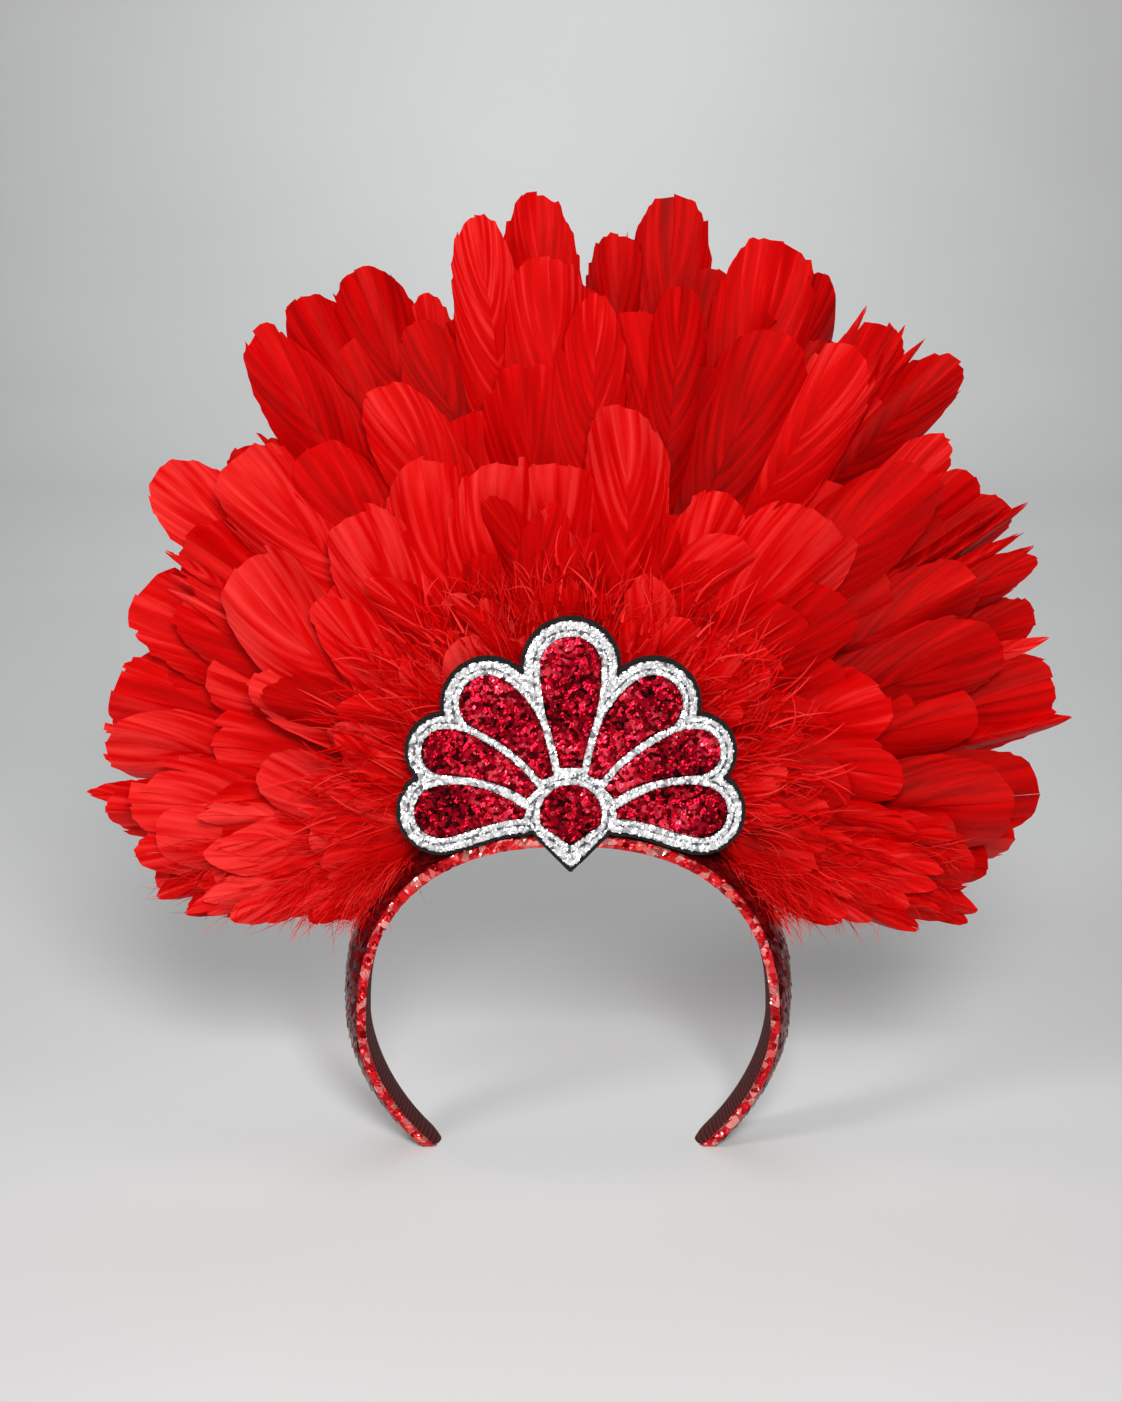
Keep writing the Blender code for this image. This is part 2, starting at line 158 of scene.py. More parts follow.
class Finish:
    """A material that starts from a Principled shader and grows by its node method."""

    def __init__(self, name, **constants):
        self.material = bpy.data.materials.new(name)
        self.material.use_nodes = True
        self.tree = self.material.node_tree
        self.shader = self.tree.nodes["Principled BSDF"]
        for key, value in constants.items():
            self.shader.inputs[key.replace("_", " ")].default_value = value

    def node(self, kind, settings, inputs, output=0):
        made = self.tree.nodes.new(kind)
        for key, value in settings.items():
            if key == "stops":
                self.set_stops(made.color_ramp, value)
            else:
                setattr(made, key, value)
        for key, value in inputs.items():
            self.feed(made.inputs[key], value)
        return Value(self, made.outputs[output])

    def feed(self, socket, value):
        if isinstance(value, Value):
            self.tree.links.new(value.socket, socket)
        else:
            socket.default_value = value

    def set_stops(self, ramp, stops):
        """Stops are (place, colour) pairs. A new ramp has two, so only the rest are added."""
        while len(ramp.elements) < len(stops):
            ramp.elements.new(1.0)
        for element, (place, colour) in zip(ramp.elements, stops):
            element.position = place
            element.color = (*colour, 1.0)

    def ramp(self, value, stops):
        return self.node("ShaderNodeValToRGB", {"stops": stops}, {"Fac": value})

    def noise(self, vector, scale, detail=2.0):
        return self.node("ShaderNodeTexNoise", {}, {"Vector": vector, "Scale": scale, "Detail": detail})

    def place(self):
        return self.node("ShaderNodeTexCoord", {}, {}, "Object")

    def bump(self, height, strength, distance_mm):
        return self.node("ShaderNodeBump", {},
                         {"Height": height, "Strength": strength, "Distance": distance_mm * MM})

    def use(self, **sockets):
        for key, value in sockets.items():
            self.feed(self.shader.inputs[key.replace("_", " ")], value)

# %% [markdown]
# ## Stage and light
#
# A pale sweep of paper runs under the headband and up far behind it. Its colour holds a painted pool
# of light near the middle and painted shade towards the sides. A large soft lamp stands low in front,
# so the fan's soft shadow falls on the floor behind the arch. A weaker lamp on the left shapes the
# feathers, and one behind lights the paper.

# %% The floor
FLOOR_HALF_WIDTH = 3000.0
FLOOR_FRONT = -2500.0
SWEEP_START = 1400.0
SWEEP_RADIUS = 600.0
SWEEP_TOP = 3000.0
CLOUD_SCALE, CLOUD_DETAIL, CLOUD_SHARE = 4.0, 3.0, 0.12
LIGHT_POOL_AT_Y, DEPTH_SHARE = 0.35, 0.15
PAPER_AND_LIGHT_POOL_STOPS = [(0.12, (0.83, 0.84, 0.84)), (0.5, (0.55, 0.555, 0.555))]

paper = Finish("Pale paper", Roughness=0.9)
cloudy = paper.noise(paper.place(), CLOUD_SCALE, CLOUD_DETAIL)
# Painted light: the paper is lightest round a point behind the headband and darker away from it, a painted
# pool of light with painted shade to the sides.
from_middle = paper.node("ShaderNodeVectorMath", {"operation": "MULTIPLY_ADD"},
                         {0: paper.place(), 1: (1.0, DEPTH_SHARE, 0.0),
                          2: (0.0, -DEPTH_SHARE * LIGHT_POOL_AT_Y, 0.0)})
far = paper.node("ShaderNodeVectorMath", {"operation": "LENGTH"}, {0: from_middle}, "Value")
paper.use(Base_Color=paper.ramp(far + (cloudy - 0.5) * CLOUD_SHARE, PAPER_AND_LIGHT_POOL_STOPS))

turn = np.linspace(0.0, math.pi / 2, 24)
profile = np.concatenate([
    [(FLOOR_FRONT, 0.0)],
    np.stack([SWEEP_START + SWEEP_RADIUS * np.sin(turn), SWEEP_RADIUS * (1 - np.cos(turn))], axis=1),
    [(SWEEP_START + SWEEP_RADIUS, SWEEP_TOP)]])
across = np.linspace(-FLOOR_HALF_WIDTH, FLOOR_HALF_WIDTH, 3)
sweep = np.stack(np.broadcast_arrays(across[None, :], profile[:, :1], profile[:, 1:]), axis=-1)
floor = surface("Floor", sweep.reshape(-1, 3), [grid_faces(len(profile), len(across))], paper.material)

# %% The lamps
MIDDLE_OF_HEADBAND = (0.0, 0.0, 0.15)
ROOM_STRENGTH = 0.14


def soft_lamp(name, place, size, power, aim=MIDDLE_OF_HEADBAND):
    """A square area lamp, in metres and watts, turned so that it looks at its aim."""
    lamp = bpy.data.lights.new(name, "AREA")
    lamp.size = size
    lamp.energy = power
    stand = bpy.data.objects.new(name, lamp)
    stand.location = place
    away = np.array(place) - np.array(aim)
    level = math.hypot(away[0], away[1])
    stand.rotation_euler = (math.atan2(level, away[2]), 0.0, math.atan2(away[1], away[0]) + math.pi / 2)
    bpy.context.scene.collection.objects.link(stand)


soft_lamp("Key lamp", (-1.4, -1.4, 1.3), 0.6, 12.0)
soft_lamp("Front lamp", (0.15, -2.1, 1.1), 0.6, 51.0)
soft_lamp("Top lamp", (-0.2, 0.2, 1.8), 0.8, 2.0)
soft_lamp("Background lamp", (0.0, 1.6, 1.4), 1.2, 7.0, (0.0, 1.9, 0.0))

room = bpy.data.worlds.new("Room")
room.use_nodes = True
room.node_tree.nodes["Background"].inputs["Color"].default_value = (1.0, 1.0, 1.0, 1.0)
room.node_tree.nodes["Background"].inputs["Strength"].default_value = ROOM_STRENGTH
bpy.context.scene.world = room
bpy.context.scene.view_settings.view_transform = "Standard"
print("four lamps and a pale room")

# %% [markdown]
# ## The band
#
# The arch of the band is two half superellipses that meet at its widest line. Each layer is a closed
# section carried along it. The tips stand flat on the floor, so the last sections lean over to it.

# %% The arch
BAND_HALF_WIDTH = 68.7
BAND_WIDEST_Z = 44.0
CROWN_RISE, CROWN_EXPONENT = 65.0, 2.4
ARM_DROP, ARM_EXPONENT = 64.0, 1.8
TIP_CORNER = 3.5
FOOT_BLEND = 18.0
GAP = 0.3
SIZE_ANGLES = (0, 35, 68, 90, 112, 134)
DEPTHS = (42.0, 42.0, 36.0, 31.0, 24.0, 18.0)
PADDINGS = (2.5, 4.5, 5.5, 4.0, 2.6, 1.5)
STRIPS = (4.0, 3.8, 3.2, 3.0, 3.0, 3.0)
EASE_SPREAD = np.linspace(-9.0, 9.0, 7)
ANGLE_STEP = 0.05


def arch_points(angles):
    """(|x|/half width)^p + (|z|/rise)^p = 1 at each angle from the crown, above or below the widest line."""
    across, up = np.sin(np.radians(angles)), np.cos(np.radians(angles))
    rise = np.where(up > 0, CROWN_RISE, ARM_DROP)
    power = np.where(up > 0, CROWN_EXPONENT, ARM_EXPONENT)
    radius = (np.abs(across / BAND_HALF_WIDTH) ** power + np.abs(up / rise) ** power) ** (-1 / power)
    return np.stack([radius * across, BAND_WIDEST_Z + radius * up], axis=-1)


def eased(angles, values):
    """A column of sizes at each angle, as the mean of its straight line over 18 degrees."""
    return np.interp(np.abs(np.asarray(angles)[..., None] + EASE_SPREAD), SIZE_ANGLES, values).mean(axis=-1)


fine = np.linspace(90.0, 179.0, 20001)
TIP_ANGLE = float(fine[np.argmin(np.abs(arch_points(fine)[:, 1]))])
fine = np.linspace(-TIP_ANGLE, TIP_ANGLE, 20001)
steps = np.linalg.norm(np.diff(arch_points(fine), axis=0), axis=1)
ARCH_RUN = np.concatenate([[0.0], np.cumsum(steps)])
ARCH_LENGTH = float(ARCH_RUN[-1])


def angle_at(run):
    """The angle from the crown at a length along the arch from the left tip."""
    return np.interp(run, ARCH_RUN, fine)


def half_depth(run):
    """Half the band's depth, with a quarter round of TIP_CORNER at each tip."""
    left = np.maximum(TIP_CORNER - np.minimum(run, ARCH_LENGTH - run), 0.0)
    return eased(angle_at(run), DEPTHS) / 2 - TIP_CORNER + np.sqrt(TIP_CORNER ** 2 - left ** 2)


def on_band(run, outwards, depth):
    """A point at a length along the arch, a distance outwards of it, and a depth."""
    angles = angle_at(run)
    ahead = arch_points(angles + ANGLE_STEP) - arch_points(angles - ANGLE_STEP)
    along = ahead / np.linalg.norm(ahead, axis=-1, keepdims=True)
    normal = np.stack([-along[..., 1], along[..., 0]], axis=-1)
    near = np.clip(1.0 - np.minimum(run, ARCH_LENGTH - run) / FOOT_BLEND, 0.0, 1.0)
    lean = np.where(near > 0, -normal[..., 1] / np.where(near > 0, along[..., 1], 1.0), 0.0) * near ** 2
    place = arch_points(angles) + (normal + along * lean[..., None]) * outwards[..., None]
    return np.stack([place[..., 0], depth, np.maximum(place[..., 1], 0.0)], axis=-1)


print(f"arch: {ARCH_LENGTH:.1f} mm long, tips at {TIP_ANGLE:.1f} degrees from the crown")

# %% Bodies along the arch
STATIONS = 360
CLOSER_AT_TIPS = 0.01


def band_body(name, section, material, smooth=True):
    """A closed section carried along the arch. The section gives outwards and depth for each run."""
    even = np.linspace(0.0, 1.0, STATIONS)
    run = ARCH_LENGTH * (even - CLOSER_AT_TIPS * np.sin(2 * np.pi * even))
    outwards, depth, width = section(run)
    sides = outwards.shape[1]
    places = on_band(np.broadcast_to(run[:, None], outwards.shape), outwards, depth)
    points = np.concatenate([places.reshape(-1, 3), places[[0, -1]].mean(axis=1)])
    ring = np.arange(sides)
    after = np.roll(ring, -1)
    start = np.arange(STATIONS - 1)[:, None] * sides
    walls = np.stack([start + ring, start + after, start + sides + after, start + sides + ring], axis=-1)
    last = (STATIONS - 1) * sides
    caps = np.concatenate([
        np.stack([after, ring, np.full(sides, STATIONS * sides)], axis=-1),
        np.stack([last + ring, last + after, np.full(sides, STATIONS * sides + 1)], axis=-1)])
    uv = np.stack([np.broadcast_to(run[:, None], outwards.shape), width], axis=-1).reshape(-1, 2)
    uv = np.concatenate([uv, uv[[0, -1]]])
    return surface(name, points, [walls.reshape(-1, 4), caps], material, uv, smooth)

# %% [markdown]
# ## Sequins and foil
#
# Sequins and glitter are tiny flat mirrors that lie at slightly different tilts, so each one is bright
# or dark as a whole. A Voronoi pattern gives every mirror a cell, and the cell's random colour tilts
# the normal and picks the shade: a painted glint or painted dark reflection in the cell's colour.

# %% Mirror finishes
DARK_REFLECTIONS_PER_METRE, SEAM_DARKNESS = 55.0, 0.8


def mirror_finish(name, cell_mm, tilt, stops, dark_reflections=0.0, seam_mm=0.0, **constants):
    """Cells of about cell_mm, each with its normal turned by up to tilt and a painted glint or dark
    reflection as its shade from the stops.
    Painted dark reflections dim whole areas, and a seam darkens the shade where the pattern map falls to
    zero."""
    finish = Finish(name, **constants)
    cells = finish.node("ShaderNodeTexVoronoi", {},
                        {"Vector": finish.place(), "Scale": 1.0 / (cell_mm * MM)}, "Color")
    centred = finish.node("ShaderNodeVectorMath", {"operation": "SUBTRACT"}, {0: cells, 1: (0.5, 0.5, 0.5)})
    normal = finish.node("ShaderNodeNewGeometry", {}, {}, "Normal")
    tilted = finish.node("ShaderNodeVectorMath", {"operation": "MULTIPLY_ADD"},
                         {0: centred, 1: (2 * tilt, 2 * tilt, 2 * tilt), 2: normal})
    shade = finish.node("ShaderNodeSeparateColor", {}, {0: cells}, 0)
    if dark_reflections:
        # Painted shade: noise darkens whole areas as dark reflections.
        shade = shade + (finish.noise(finish.place(), DARK_REFLECTIONS_PER_METRE, 1.0) - 0.5) * dark_reflections
    if seam_mm:
        pattern = finish.node("ShaderNodeUVMap", {"uv_map": "Pattern"}, {})
        from_seam = finish.node("ShaderNodeSeparateXYZ", {}, {0: pattern})
        shade = shade - finish.node("ShaderNodeMapRange", {}, {
            "Value": from_seam, "From Max": seam_mm, "To Min": SEAM_DARKNESS, "To Max": 0.0})
    finish.use(Base_Color=finish.ramp(shade, stops),
               Normal=finish.node("ShaderNodeVectorMath", {"operation": "NORMALIZE"}, {0: tilted}))
    return finish.material


# In each ramp the darkest stops are painted dark reflections; the pinkish top of the glitter and the near
# white top of the bright red sequins are painted glints.
silver = mirror_finish(
    "Silver foil", 1.3, 0.34, [(0.0, (0.16, 0.16, 0.17)), (0.15, (0.66, 0.66, 0.68)),
                               (0.6, (0.90, 0.90, 0.91)), (1.0, (1.0, 1.0, 0.99))],
    seam_mm=0.5, Metallic=0.85, Roughness=0.32)
glitter = mirror_finish(
    "Red glitter", 1.25, 0.5, [(0.0, (0.02, 0.0, 0.001)), (0.45, (0.22, 0.0, 0.006)),
                               (0.8, (0.60, 0.003, 0.02)), (1.0, (1.0, 0.06, 0.10))],
    dark_reflections=1.5, Metallic=0.95, Roughness=0.28)
maroon = mirror_finish(
    "Maroon sequins", 2.6, 0.22, [(0.0, (0.07, 0.0, 0.002)), (0.6, (0.16, 0.002, 0.004)),
                                  (1.0, (0.30, 0.006, 0.01))], Metallic=0.55, Roughness=0.27)
edge_red = mirror_finish(
    "Bright red sequins", 2.0, 0.5, [(0.0, (0.35, 0.0, 0.004)), (0.6, (0.85, 0.01, 0.015)),
                                     (1.0, (1.0, 0.40, 0.36))], Metallic=0.75, Roughness=0.2)
print("four mirror finishes")

# %% [markdown]
# ## Cloth of the band
#
# The cover is padded, so it stands highest along its middle. Round sequins overlap on it like the
# scales of a fish. The lining is a ribbed maroon cloth, and the front edge carries a strip of bright
# crinkled sequins.

# %% The padded cover
COVER_INNER, COVER_OUTER = -0.2, 1.2
PADDING_POWER = 2.2
CROWN_SHARES = np.linspace(1.0, -1.0, 21)


def crown_height(run, share):
    """The cover's outside: highest at mid depth, falling off with the 2.2th power of the share."""
    return COVER_OUTER + eased(angle_at(run), PADDINGS) * (1 - np.abs(share) ** PADDING_POWER)


def cover_section(run):
    """A flat inner side and the padded outside over it."""
    half = half_depth(run)[:, None]
    flank = np.full_like(half, COVER_INNER)
    shares = np.broadcast_to(CROWN_SHARES, (len(run), len(CROWN_SHARES)))
    outwards = np.concatenate([flank, flank, crown_height(run[:, None], shares)], axis=1)
    depth = np.concatenate([-half, half, half * shares], axis=1)
    return outwards, depth, depth


cover = band_body("Band_cover", cover_section, maroon)
dress(cover, "maroon_sequin_cloth", "band_cover")

# %% Where the scales lie
SCALE_ALONG, SCALE_ACROSS = 2.9, 2.7
SCALES_EACH_SIDE = 7
TIP_MARGIN, EDGE_MARGIN, JITTER = 2.0, 1.0, 0.3

rows = np.arange(TIP_MARGIN, ARCH_LENGTH - TIP_MARGIN, SCALE_ALONG)
run, share = np.meshgrid(rows, np.arange(-SCALES_EACH_SIDE, SCALES_EACH_SIDE + 1), indexing="ij")
half = half_depth(run)
depth = (share + 0.5 * (np.arange(len(rows)) % 2)[:, None]) * SCALE_ACROSS
keep = np.abs(depth) < half - EDGE_MARGIN
run, depth, half = run[keep], depth[keep], half[keep]
run = run + rng.uniform(-JITTER, JITTER, run.shape)
print(len(run), "scales")

# %% The scales
SCALE_RADIUS = 2.0
SCALE_LIFT, SCALE_BULGE = 0.35, 0.12
SCALE_TILT, TILT_SPREAD, SIDE_TILT_SPREAD = 0.17, 0.05, 0.07
SCALE_SIDES = 10
STEP_ALONG, STEP_ACROSS = 0.5, 0.3


def unit(vectors):
    return vectors / np.linalg.norm(vectors, axis=1, keepdims=True)


centre = on_band(run, crown_height(run, depth / half), depth)
ahead = on_band(run + STEP_ALONG, crown_height(run + STEP_ALONG, depth / half), depth) - centre
aside = on_band(run, crown_height(run, (depth + STEP_ACROSS) / half), depth + STEP_ACROSS) - centre
to_tip = np.where(run < ARCH_LENGTH / 2, -1.0, 1.0)[:, None]
ahead = unit(ahead) * to_tip
aside = unit(aside)
outward = np.cross(ahead, aside) * to_tip
outward *= np.sign((outward * (centre - (0.0, 0.0, BAND_WIDEST_Z))).sum(axis=1, keepdims=True))
tilt_along = rng.normal(SCALE_TILT, TILT_SPREAD, len(run))
tilt_aside = rng.normal(0.0, SIDE_TILT_SPREAD, len(run))
turn = np.linspace(0.0, 2 * np.pi, SCALE_SIDES, endpoint=False)
rim_a, rim_b = SCALE_RADIUS * np.cos(turn), SCALE_RADIUS * np.sin(turn)
lift = SCALE_LIFT + rim_a * tilt_along[:, None] + rim_b * tilt_aside[:, None]
rim = (centre[:, None] + ahead[:, None] * rim_a[:, None] + aside[:, None] * rim_b[:, None]
       + outward[:, None] * lift[..., None])
middle = centre + outward * (SCALE_LIFT + SCALE_BULGE)
points = np.concatenate([rim, middle[:, None]], axis=1)
points[..., 2] = np.maximum(points[..., 2], 0.0)
number = np.arange(len(run))[:, None] * (SCALE_SIDES + 1)
ring = np.arange(SCALE_SIDES)
hub = np.broadcast_to(number + SCALE_SIDES, (len(run), SCALE_SIDES))
fans = np.stack([number + ring, number + np.roll(ring, -1), hub], axis=-1).reshape(-1, 3)
scales = surface("Band_scales", points.reshape(-1, 3), [fans], maroon, smooth=False)
dress(scales, "maroon_sequin_cloth")

# %% The ribbed lining
LINING_INNER, LINING_OUTER, LINING_BULGE, LINING_MARGIN = -1.5, -0.5, 0.8, 0.5
LINING_POINTS = 13
RIB_PITCH_MM = 1.5
WAVE_SCALE_OF_1_MM = 0.314

lining_finish = Finish("Ribbed maroon cloth", Roughness=0.8, Specular_IOR_Level=0.2)
rib_place = lining_finish.node("ShaderNodeUVMap", {"uv_map": "Pattern"}, {})
ribs = lining_finish.node("ShaderNodeTexWave", {"bands_direction": "X"},
                          {"Vector": rib_place, "Scale": WAVE_SCALE_OF_1_MM / RIB_PITCH_MM,
                           "Distortion": 0.6, "Detail": 2.0})
lining_finish.use(
    Base_Color=lining_finish.ramp(ribs, [(0.0, (0.035, 0.003, 0.003)), (1.0, (0.13, 0.012, 0.012))]),
    Normal=lining_finish.bump(ribs, 0.6, 0.25))


def lining_section(run):
    """Inner side bulged by the square of the share, outer side flat."""
    reach = half_depth(run)[:, None] - LINING_MARGIN
    shares = np.linspace(-1.0, 1.0, LINING_POINTS)
    inner = np.broadcast_to(LINING_INNER - LINING_BULGE * (1 - shares ** 2), (len(run), LINING_POINTS))
    outer = np.full((len(run), 2), LINING_OUTER)
    depth = reach * np.concatenate([shares, (1.0, -1.0)])
    return np.concatenate([inner, outer], axis=1), depth, depth


lining = band_body("Band_lining", lining_section, lining_finish.material)
dress(lining, "ribbed_lining", "band_lining")

# %% The front edge strip
STRIP_THICKNESS = 1.1
STRIP_CRINKLE = 0.2
STRIP_SHARES = np.array((-1.0, -1.0, -0.7, -0.25, 0.25, 0.7, 1.0, 1.0))
STRIP_FRONTS = np.array((0.0, 0.6, 0.95, 1.0, 1.0, 0.95, 0.6, 0.0))


def strip_section(run):
    """A low cushion in front of the band's edge, with every point pushed a little at random."""
    reach = eased(angle_at(run), STRIPS)[:, None] / 2
    back = -half_depth(run)[:, None] - GAP
    push = rng.uniform(-1.0, 1.0, (len(run), len(STRIP_SHARES))) * STRIP_CRINKLE * (STRIP_FRONTS > 0)
    outwards = reach * STRIP_SHARES + push / 2
    depth = back - STRIP_THICKNESS * STRIP_FRONTS - np.roll(push, 1, axis=1) * (STRIP_FRONTS > 0.9)
    return outwards, depth, outwards


strip = band_body("Front_edge_strip", strip_section, edge_red, smooth=False)
dress(strip, "red_edge_sequins", "front_edge_strip")

# %% [markdown]
# ## The emblem
#
# The emblem is cut from flat layers: black felt, a border of silver sequins in two rows, and red
# glitter in the windows. A distance field makes all of them from one drawing. Each window is an
# outline; the distance to it, less a border width, is the outer edge; less a little more, the felt.

# %% Outlines of the windows
HUB = np.array((0.8, 118.6))
HUB_RADIUS, HUB_POINT = 13.9, -18.2
DROP_RADIUS, DROP_POINT = 10.2, -10.4
PETALS = [
    # root, bend, end, half width at the root, radius at the end, border, side
    ((0.0, 15.7), (0.0, 32.0), (0.0, 49.3), 3.9, 10.0, 5.2, 1),
    ((7.9, 12.3), (13.7, 27.4), (26.7, 36.9), 2.6, 9.6, 4.9, 1),
    ((7.9, 12.3), (13.7, 27.4), (26.7, 36.9), 2.6, 9.6, 4.9, -1),
    ((12.4, 7.2), (24.7, 19.9), (40.9, 21.0), 2.7, 7.8, 4.2, 1),
    ((12.4, 7.2), (24.7, 19.9), (40.9, 21.0), 2.7, 7.8, 4.2, -1),
    ((15.0, 0.1), (28.5, 4.3), (42.3, 1.0), 1.7, 8.8, 4.7, 1),
    ((15.0, 0.1), (28.5, 4.3), (42.3, 1.0), 1.7, 8.8, 4.7, -1),
]
PETAL_SWELL = 1.15


def petal_outline(root, bend, end, root_half, end_radius, side):
    """Two sides along a bent axis that swell from root to end, joined by a half round."""
    root, bend, end = (np.array(point) * (side, 1) for point in (root, bend, end))
    first, final = bend - root, end - bend
    first, final = first / np.linalg.norm(first), final / np.linalg.norm(final)
    step = np.linspace(0.0, 1.0, 24, endpoint=False)[:, None]
    centre = (1 - step) ** 2 * root + 2 * step * (1 - step) * bend + step ** 2 * end
    along = (1 - step) * first + step * final
    along = along / np.linalg.norm(along, axis=1, keepdims=True)
    half = root_half + (end_radius - root_half) * np.sin(step * np.pi / 2) ** PETAL_SWELL
    normal = np.stack([-along[:, 1], along[:, 0]], axis=1)
    around = math.atan2(final[1], final[0]) + np.linspace(np.pi / 2, -np.pi / 2, 30)
    cap = end + end_radius * np.stack([np.cos(around), np.sin(around)], axis=1)
    return HUB + np.concatenate([centre + normal * half, cap, (centre - normal * half)[::-1]])


def drop_outline(radius, point):
    """A round that runs down to a point below it."""
    turn = np.radians(np.linspace(200.0, -20.0, 40))
    return HUB + np.concatenate([radius * np.stack([np.cos(turn), np.sin(turn)], axis=1), [(0.0, point)]])

# %% The distance field
FIELD_STEP = 0.5
WINDOW_GAP = 2.4
field_x, field_z = np.meshgrid(np.arange(-58.0, 60.0, FIELD_STEP), np.arange(97.0, 186.0, FIELD_STEP))
field_points = np.stack([field_x.ravel(), field_z.ravel()], axis=1)


def distance_to(outline):
    """Distance of every field point to a closed outline, negative inside it."""
    start, end = outline, np.roll(outline, -1, axis=0)
    edge = end - start
    offset = field_points[:, None] - start
    share = np.clip((offset * edge).sum(-1) / (edge ** 2).sum(-1), 0.0, 1.0)
    near = np.linalg.norm(offset - share[..., None] * edge, axis=-1).min(axis=1)
    above = (start[:, 1] > field_points[:, 1:]) != (end[:, 1] > field_points[:, 1:])
    rise = np.where(edge[:, 1] == 0, 1.0, edge[:, 1])
    crossing = start[:, 0] + (field_points[:, 1:] - start[:, 1]) * edge[:, 0] / rise
    inside = (above & (field_points[:, :1] < crossing)).sum(axis=1) % 2 == 1
    return np.where(inside, -near, near).reshape(field_x.shape)


petal_fields = [distance_to(petal_outline(*petal[:5], petal[6])) for petal in PETALS]
drop_field = distance_to(drop_outline(DROP_RADIUS, DROP_POINT))
drawn = petal_fields + [drop_field]


def kept_apart(number):
    """max(f_i, (f_i - f_j + gap) / 2): the window ends half a gap before the middle to a neighbour."""
    own = drawn[number]
    others = np.minimum.reduce([field for other, field in enumerate(drawn) if other != number])
    return np.maximum(own, (own - others + WINDOW_GAP) / 2)


window_field = np.minimum.reduce([kept_apart(number) for number in range(len(drawn))])
edge_field = np.minimum.reduce([field - petal[5] for field, petal in zip(petal_fields, PETALS)]
                               + [distance_to(drop_outline(HUB_RADIUS, HUB_POINT))])
print("emblem field:", window_field.shape)


def sheet_of(field):
    """Quads of the field's inside. Points near its edge are moved onto it along the slope."""
    slope_z, slope_x = np.gradient(field, FIELD_STEP)
    steep = np.maximum(slope_x ** 2 + slope_z ** 2, 0.2)
    near = np.abs(field) < 0.75 * FIELD_STEP
    x = field_x - np.where(near, field * slope_x / steep, 0.0)
    z = field_z - np.where(near, field * slope_z / steep, 0.0)
    inside = field < 0.4 * FIELD_STEP
    quads = grid_faces(*field.shape)
    quads = quads[inside.ravel()[quads].all(axis=1)]
    used, compact = np.unique(quads, return_inverse=True)
    return x.ravel()[used], z.ravel()[used], compact.reshape(-1, 4), used


def cut_layer(name, field, heights, thickness, material, across=None, smooth=False):
    """A layer cut to a field's inside, its front at the given depths, thickened backwards."""
    x, z, quads, used = sheet_of(field)
    points = np.stack([x, heights.ravel()[used], z], axis=1)
    uv = None if across is None else np.stack([across.ravel()[used], x], axis=1)
    piece = surface(name, points, [quads], material, uv, smooth)
    wall = piece.modifiers.new("Wall", "SOLIDIFY")
    wall.thickness = thickness * MM
    wall.offset = -1.0
    return piece

# %% [markdown]
# ## Layers of the emblem
#
# The felt is matt and a little fuzzy. The silver lies in two rounded rows with a dark seam between
# them: one follows each window and the other the scalloped outer edge. Its foil is crinkled, so its
# points are pushed in and out at random. The glitter is a thin padded skin that dips at its rim.

# %% Felt, silver and glitter
FELT_FRONT, SILVER_FRONT, GLITTER_FRONT = -24.2, -25.3, -25.0
FELT_THICK, SILVER_THICK, GLITTER_THICK = 1.5, 0.8, 0.4
FELT_EDGE, GLITTER_INSET = 1.2, 0.15
INNER_ROW, OUTER_ROW_HALF = 2.1, 1.45
ROW_SINK, ROW_HEIGHT = 0.15, 0.55
SCALLOP_DEPTH, SCALLOPS_PER_MM = 0.35, 1.1
PAD_WIDTH, PAD_HEIGHT, PAD_RUFFLE = 1.6, 0.7, 0.09

felt_finish = Finish("Black felt", Roughness=0.95, Specular_IOR_Level=0.2)
fuzz = felt_finish.noise(felt_finish.place(), 1800.0, 3.0)
felt_finish.use(
    Base_Color=felt_finish.ramp(fuzz, [(0.3, (0.004, 0.004, 0.004)), (0.8, (0.022, 0.021, 0.021))]),
    Normal=felt_finish.bump(fuzz, 0.6, 0.3))
felt = cut_layer("Emblem_felt", edge_field - FELT_EDGE, np.full(edge_field.shape, FELT_FRONT), FELT_THICK,
                 felt_finish.material)
dress(felt, "black_felt", "emblem_felt")

inner_share = (window_field - INNER_ROW / 2) / (INNER_ROW / 2)
outer_share = np.minimum(-edge_field - OUTER_ROW_HALF, 0.6) / OUTER_ROW_HALF
row_share = np.where(window_field < INNER_ROW, inner_share, outer_share)
rows_height = np.sqrt(np.clip(1 - row_share ** 2, 0.0, 1.0))
loose = rng.uniform(-0.45, 0.45, edge_field.shape)
crinkle = (loose + np.roll(loose, 1, 0) + np.roll(loose, 1, 1) + np.roll(loose, (1, 1), (0, 1))) / 4
silver_depth = SILVER_FRONT + ROW_SINK - ROW_HEIGHT * rows_height + crinkle * (rows_height > 0.2)
scallops = np.abs(np.sin(field_x * SCALLOPS_PER_MM)) * np.abs(np.sin(field_z * SCALLOPS_PER_MM))
ragged_edge = edge_field + SCALLOP_DEPTH * scallops + crinkle * 0.6
border = cut_layer("Emblem_silver_border", np.maximum(ragged_edge, -window_field), silver_depth, SILVER_THICK,
                   silver, across=np.abs(window_field - INNER_ROW))
dress(border, "silver_sequins", "emblem_silver_border")

pad = np.sin(np.clip(-window_field / PAD_WIDTH, 0.0, 1.0) * np.pi / 2)
glitter_depth = GLITTER_FRONT - PAD_HEIGHT * pad + rng.uniform(-PAD_RUFFLE, PAD_RUFFLE, edge_field.shape)
petals = cut_layer("Emblem_glitter_petals", window_field + GLITTER_INSET, glitter_depth, GLITTER_THICK,
                   glitter)
dress(petals, "red_glitter", "petal_top", "petal_upper_left", "petal_upper_right", "petal_middle_left",
      "petal_middle_right", "petal_lower_left", "petal_lower_right", "hub_drop")
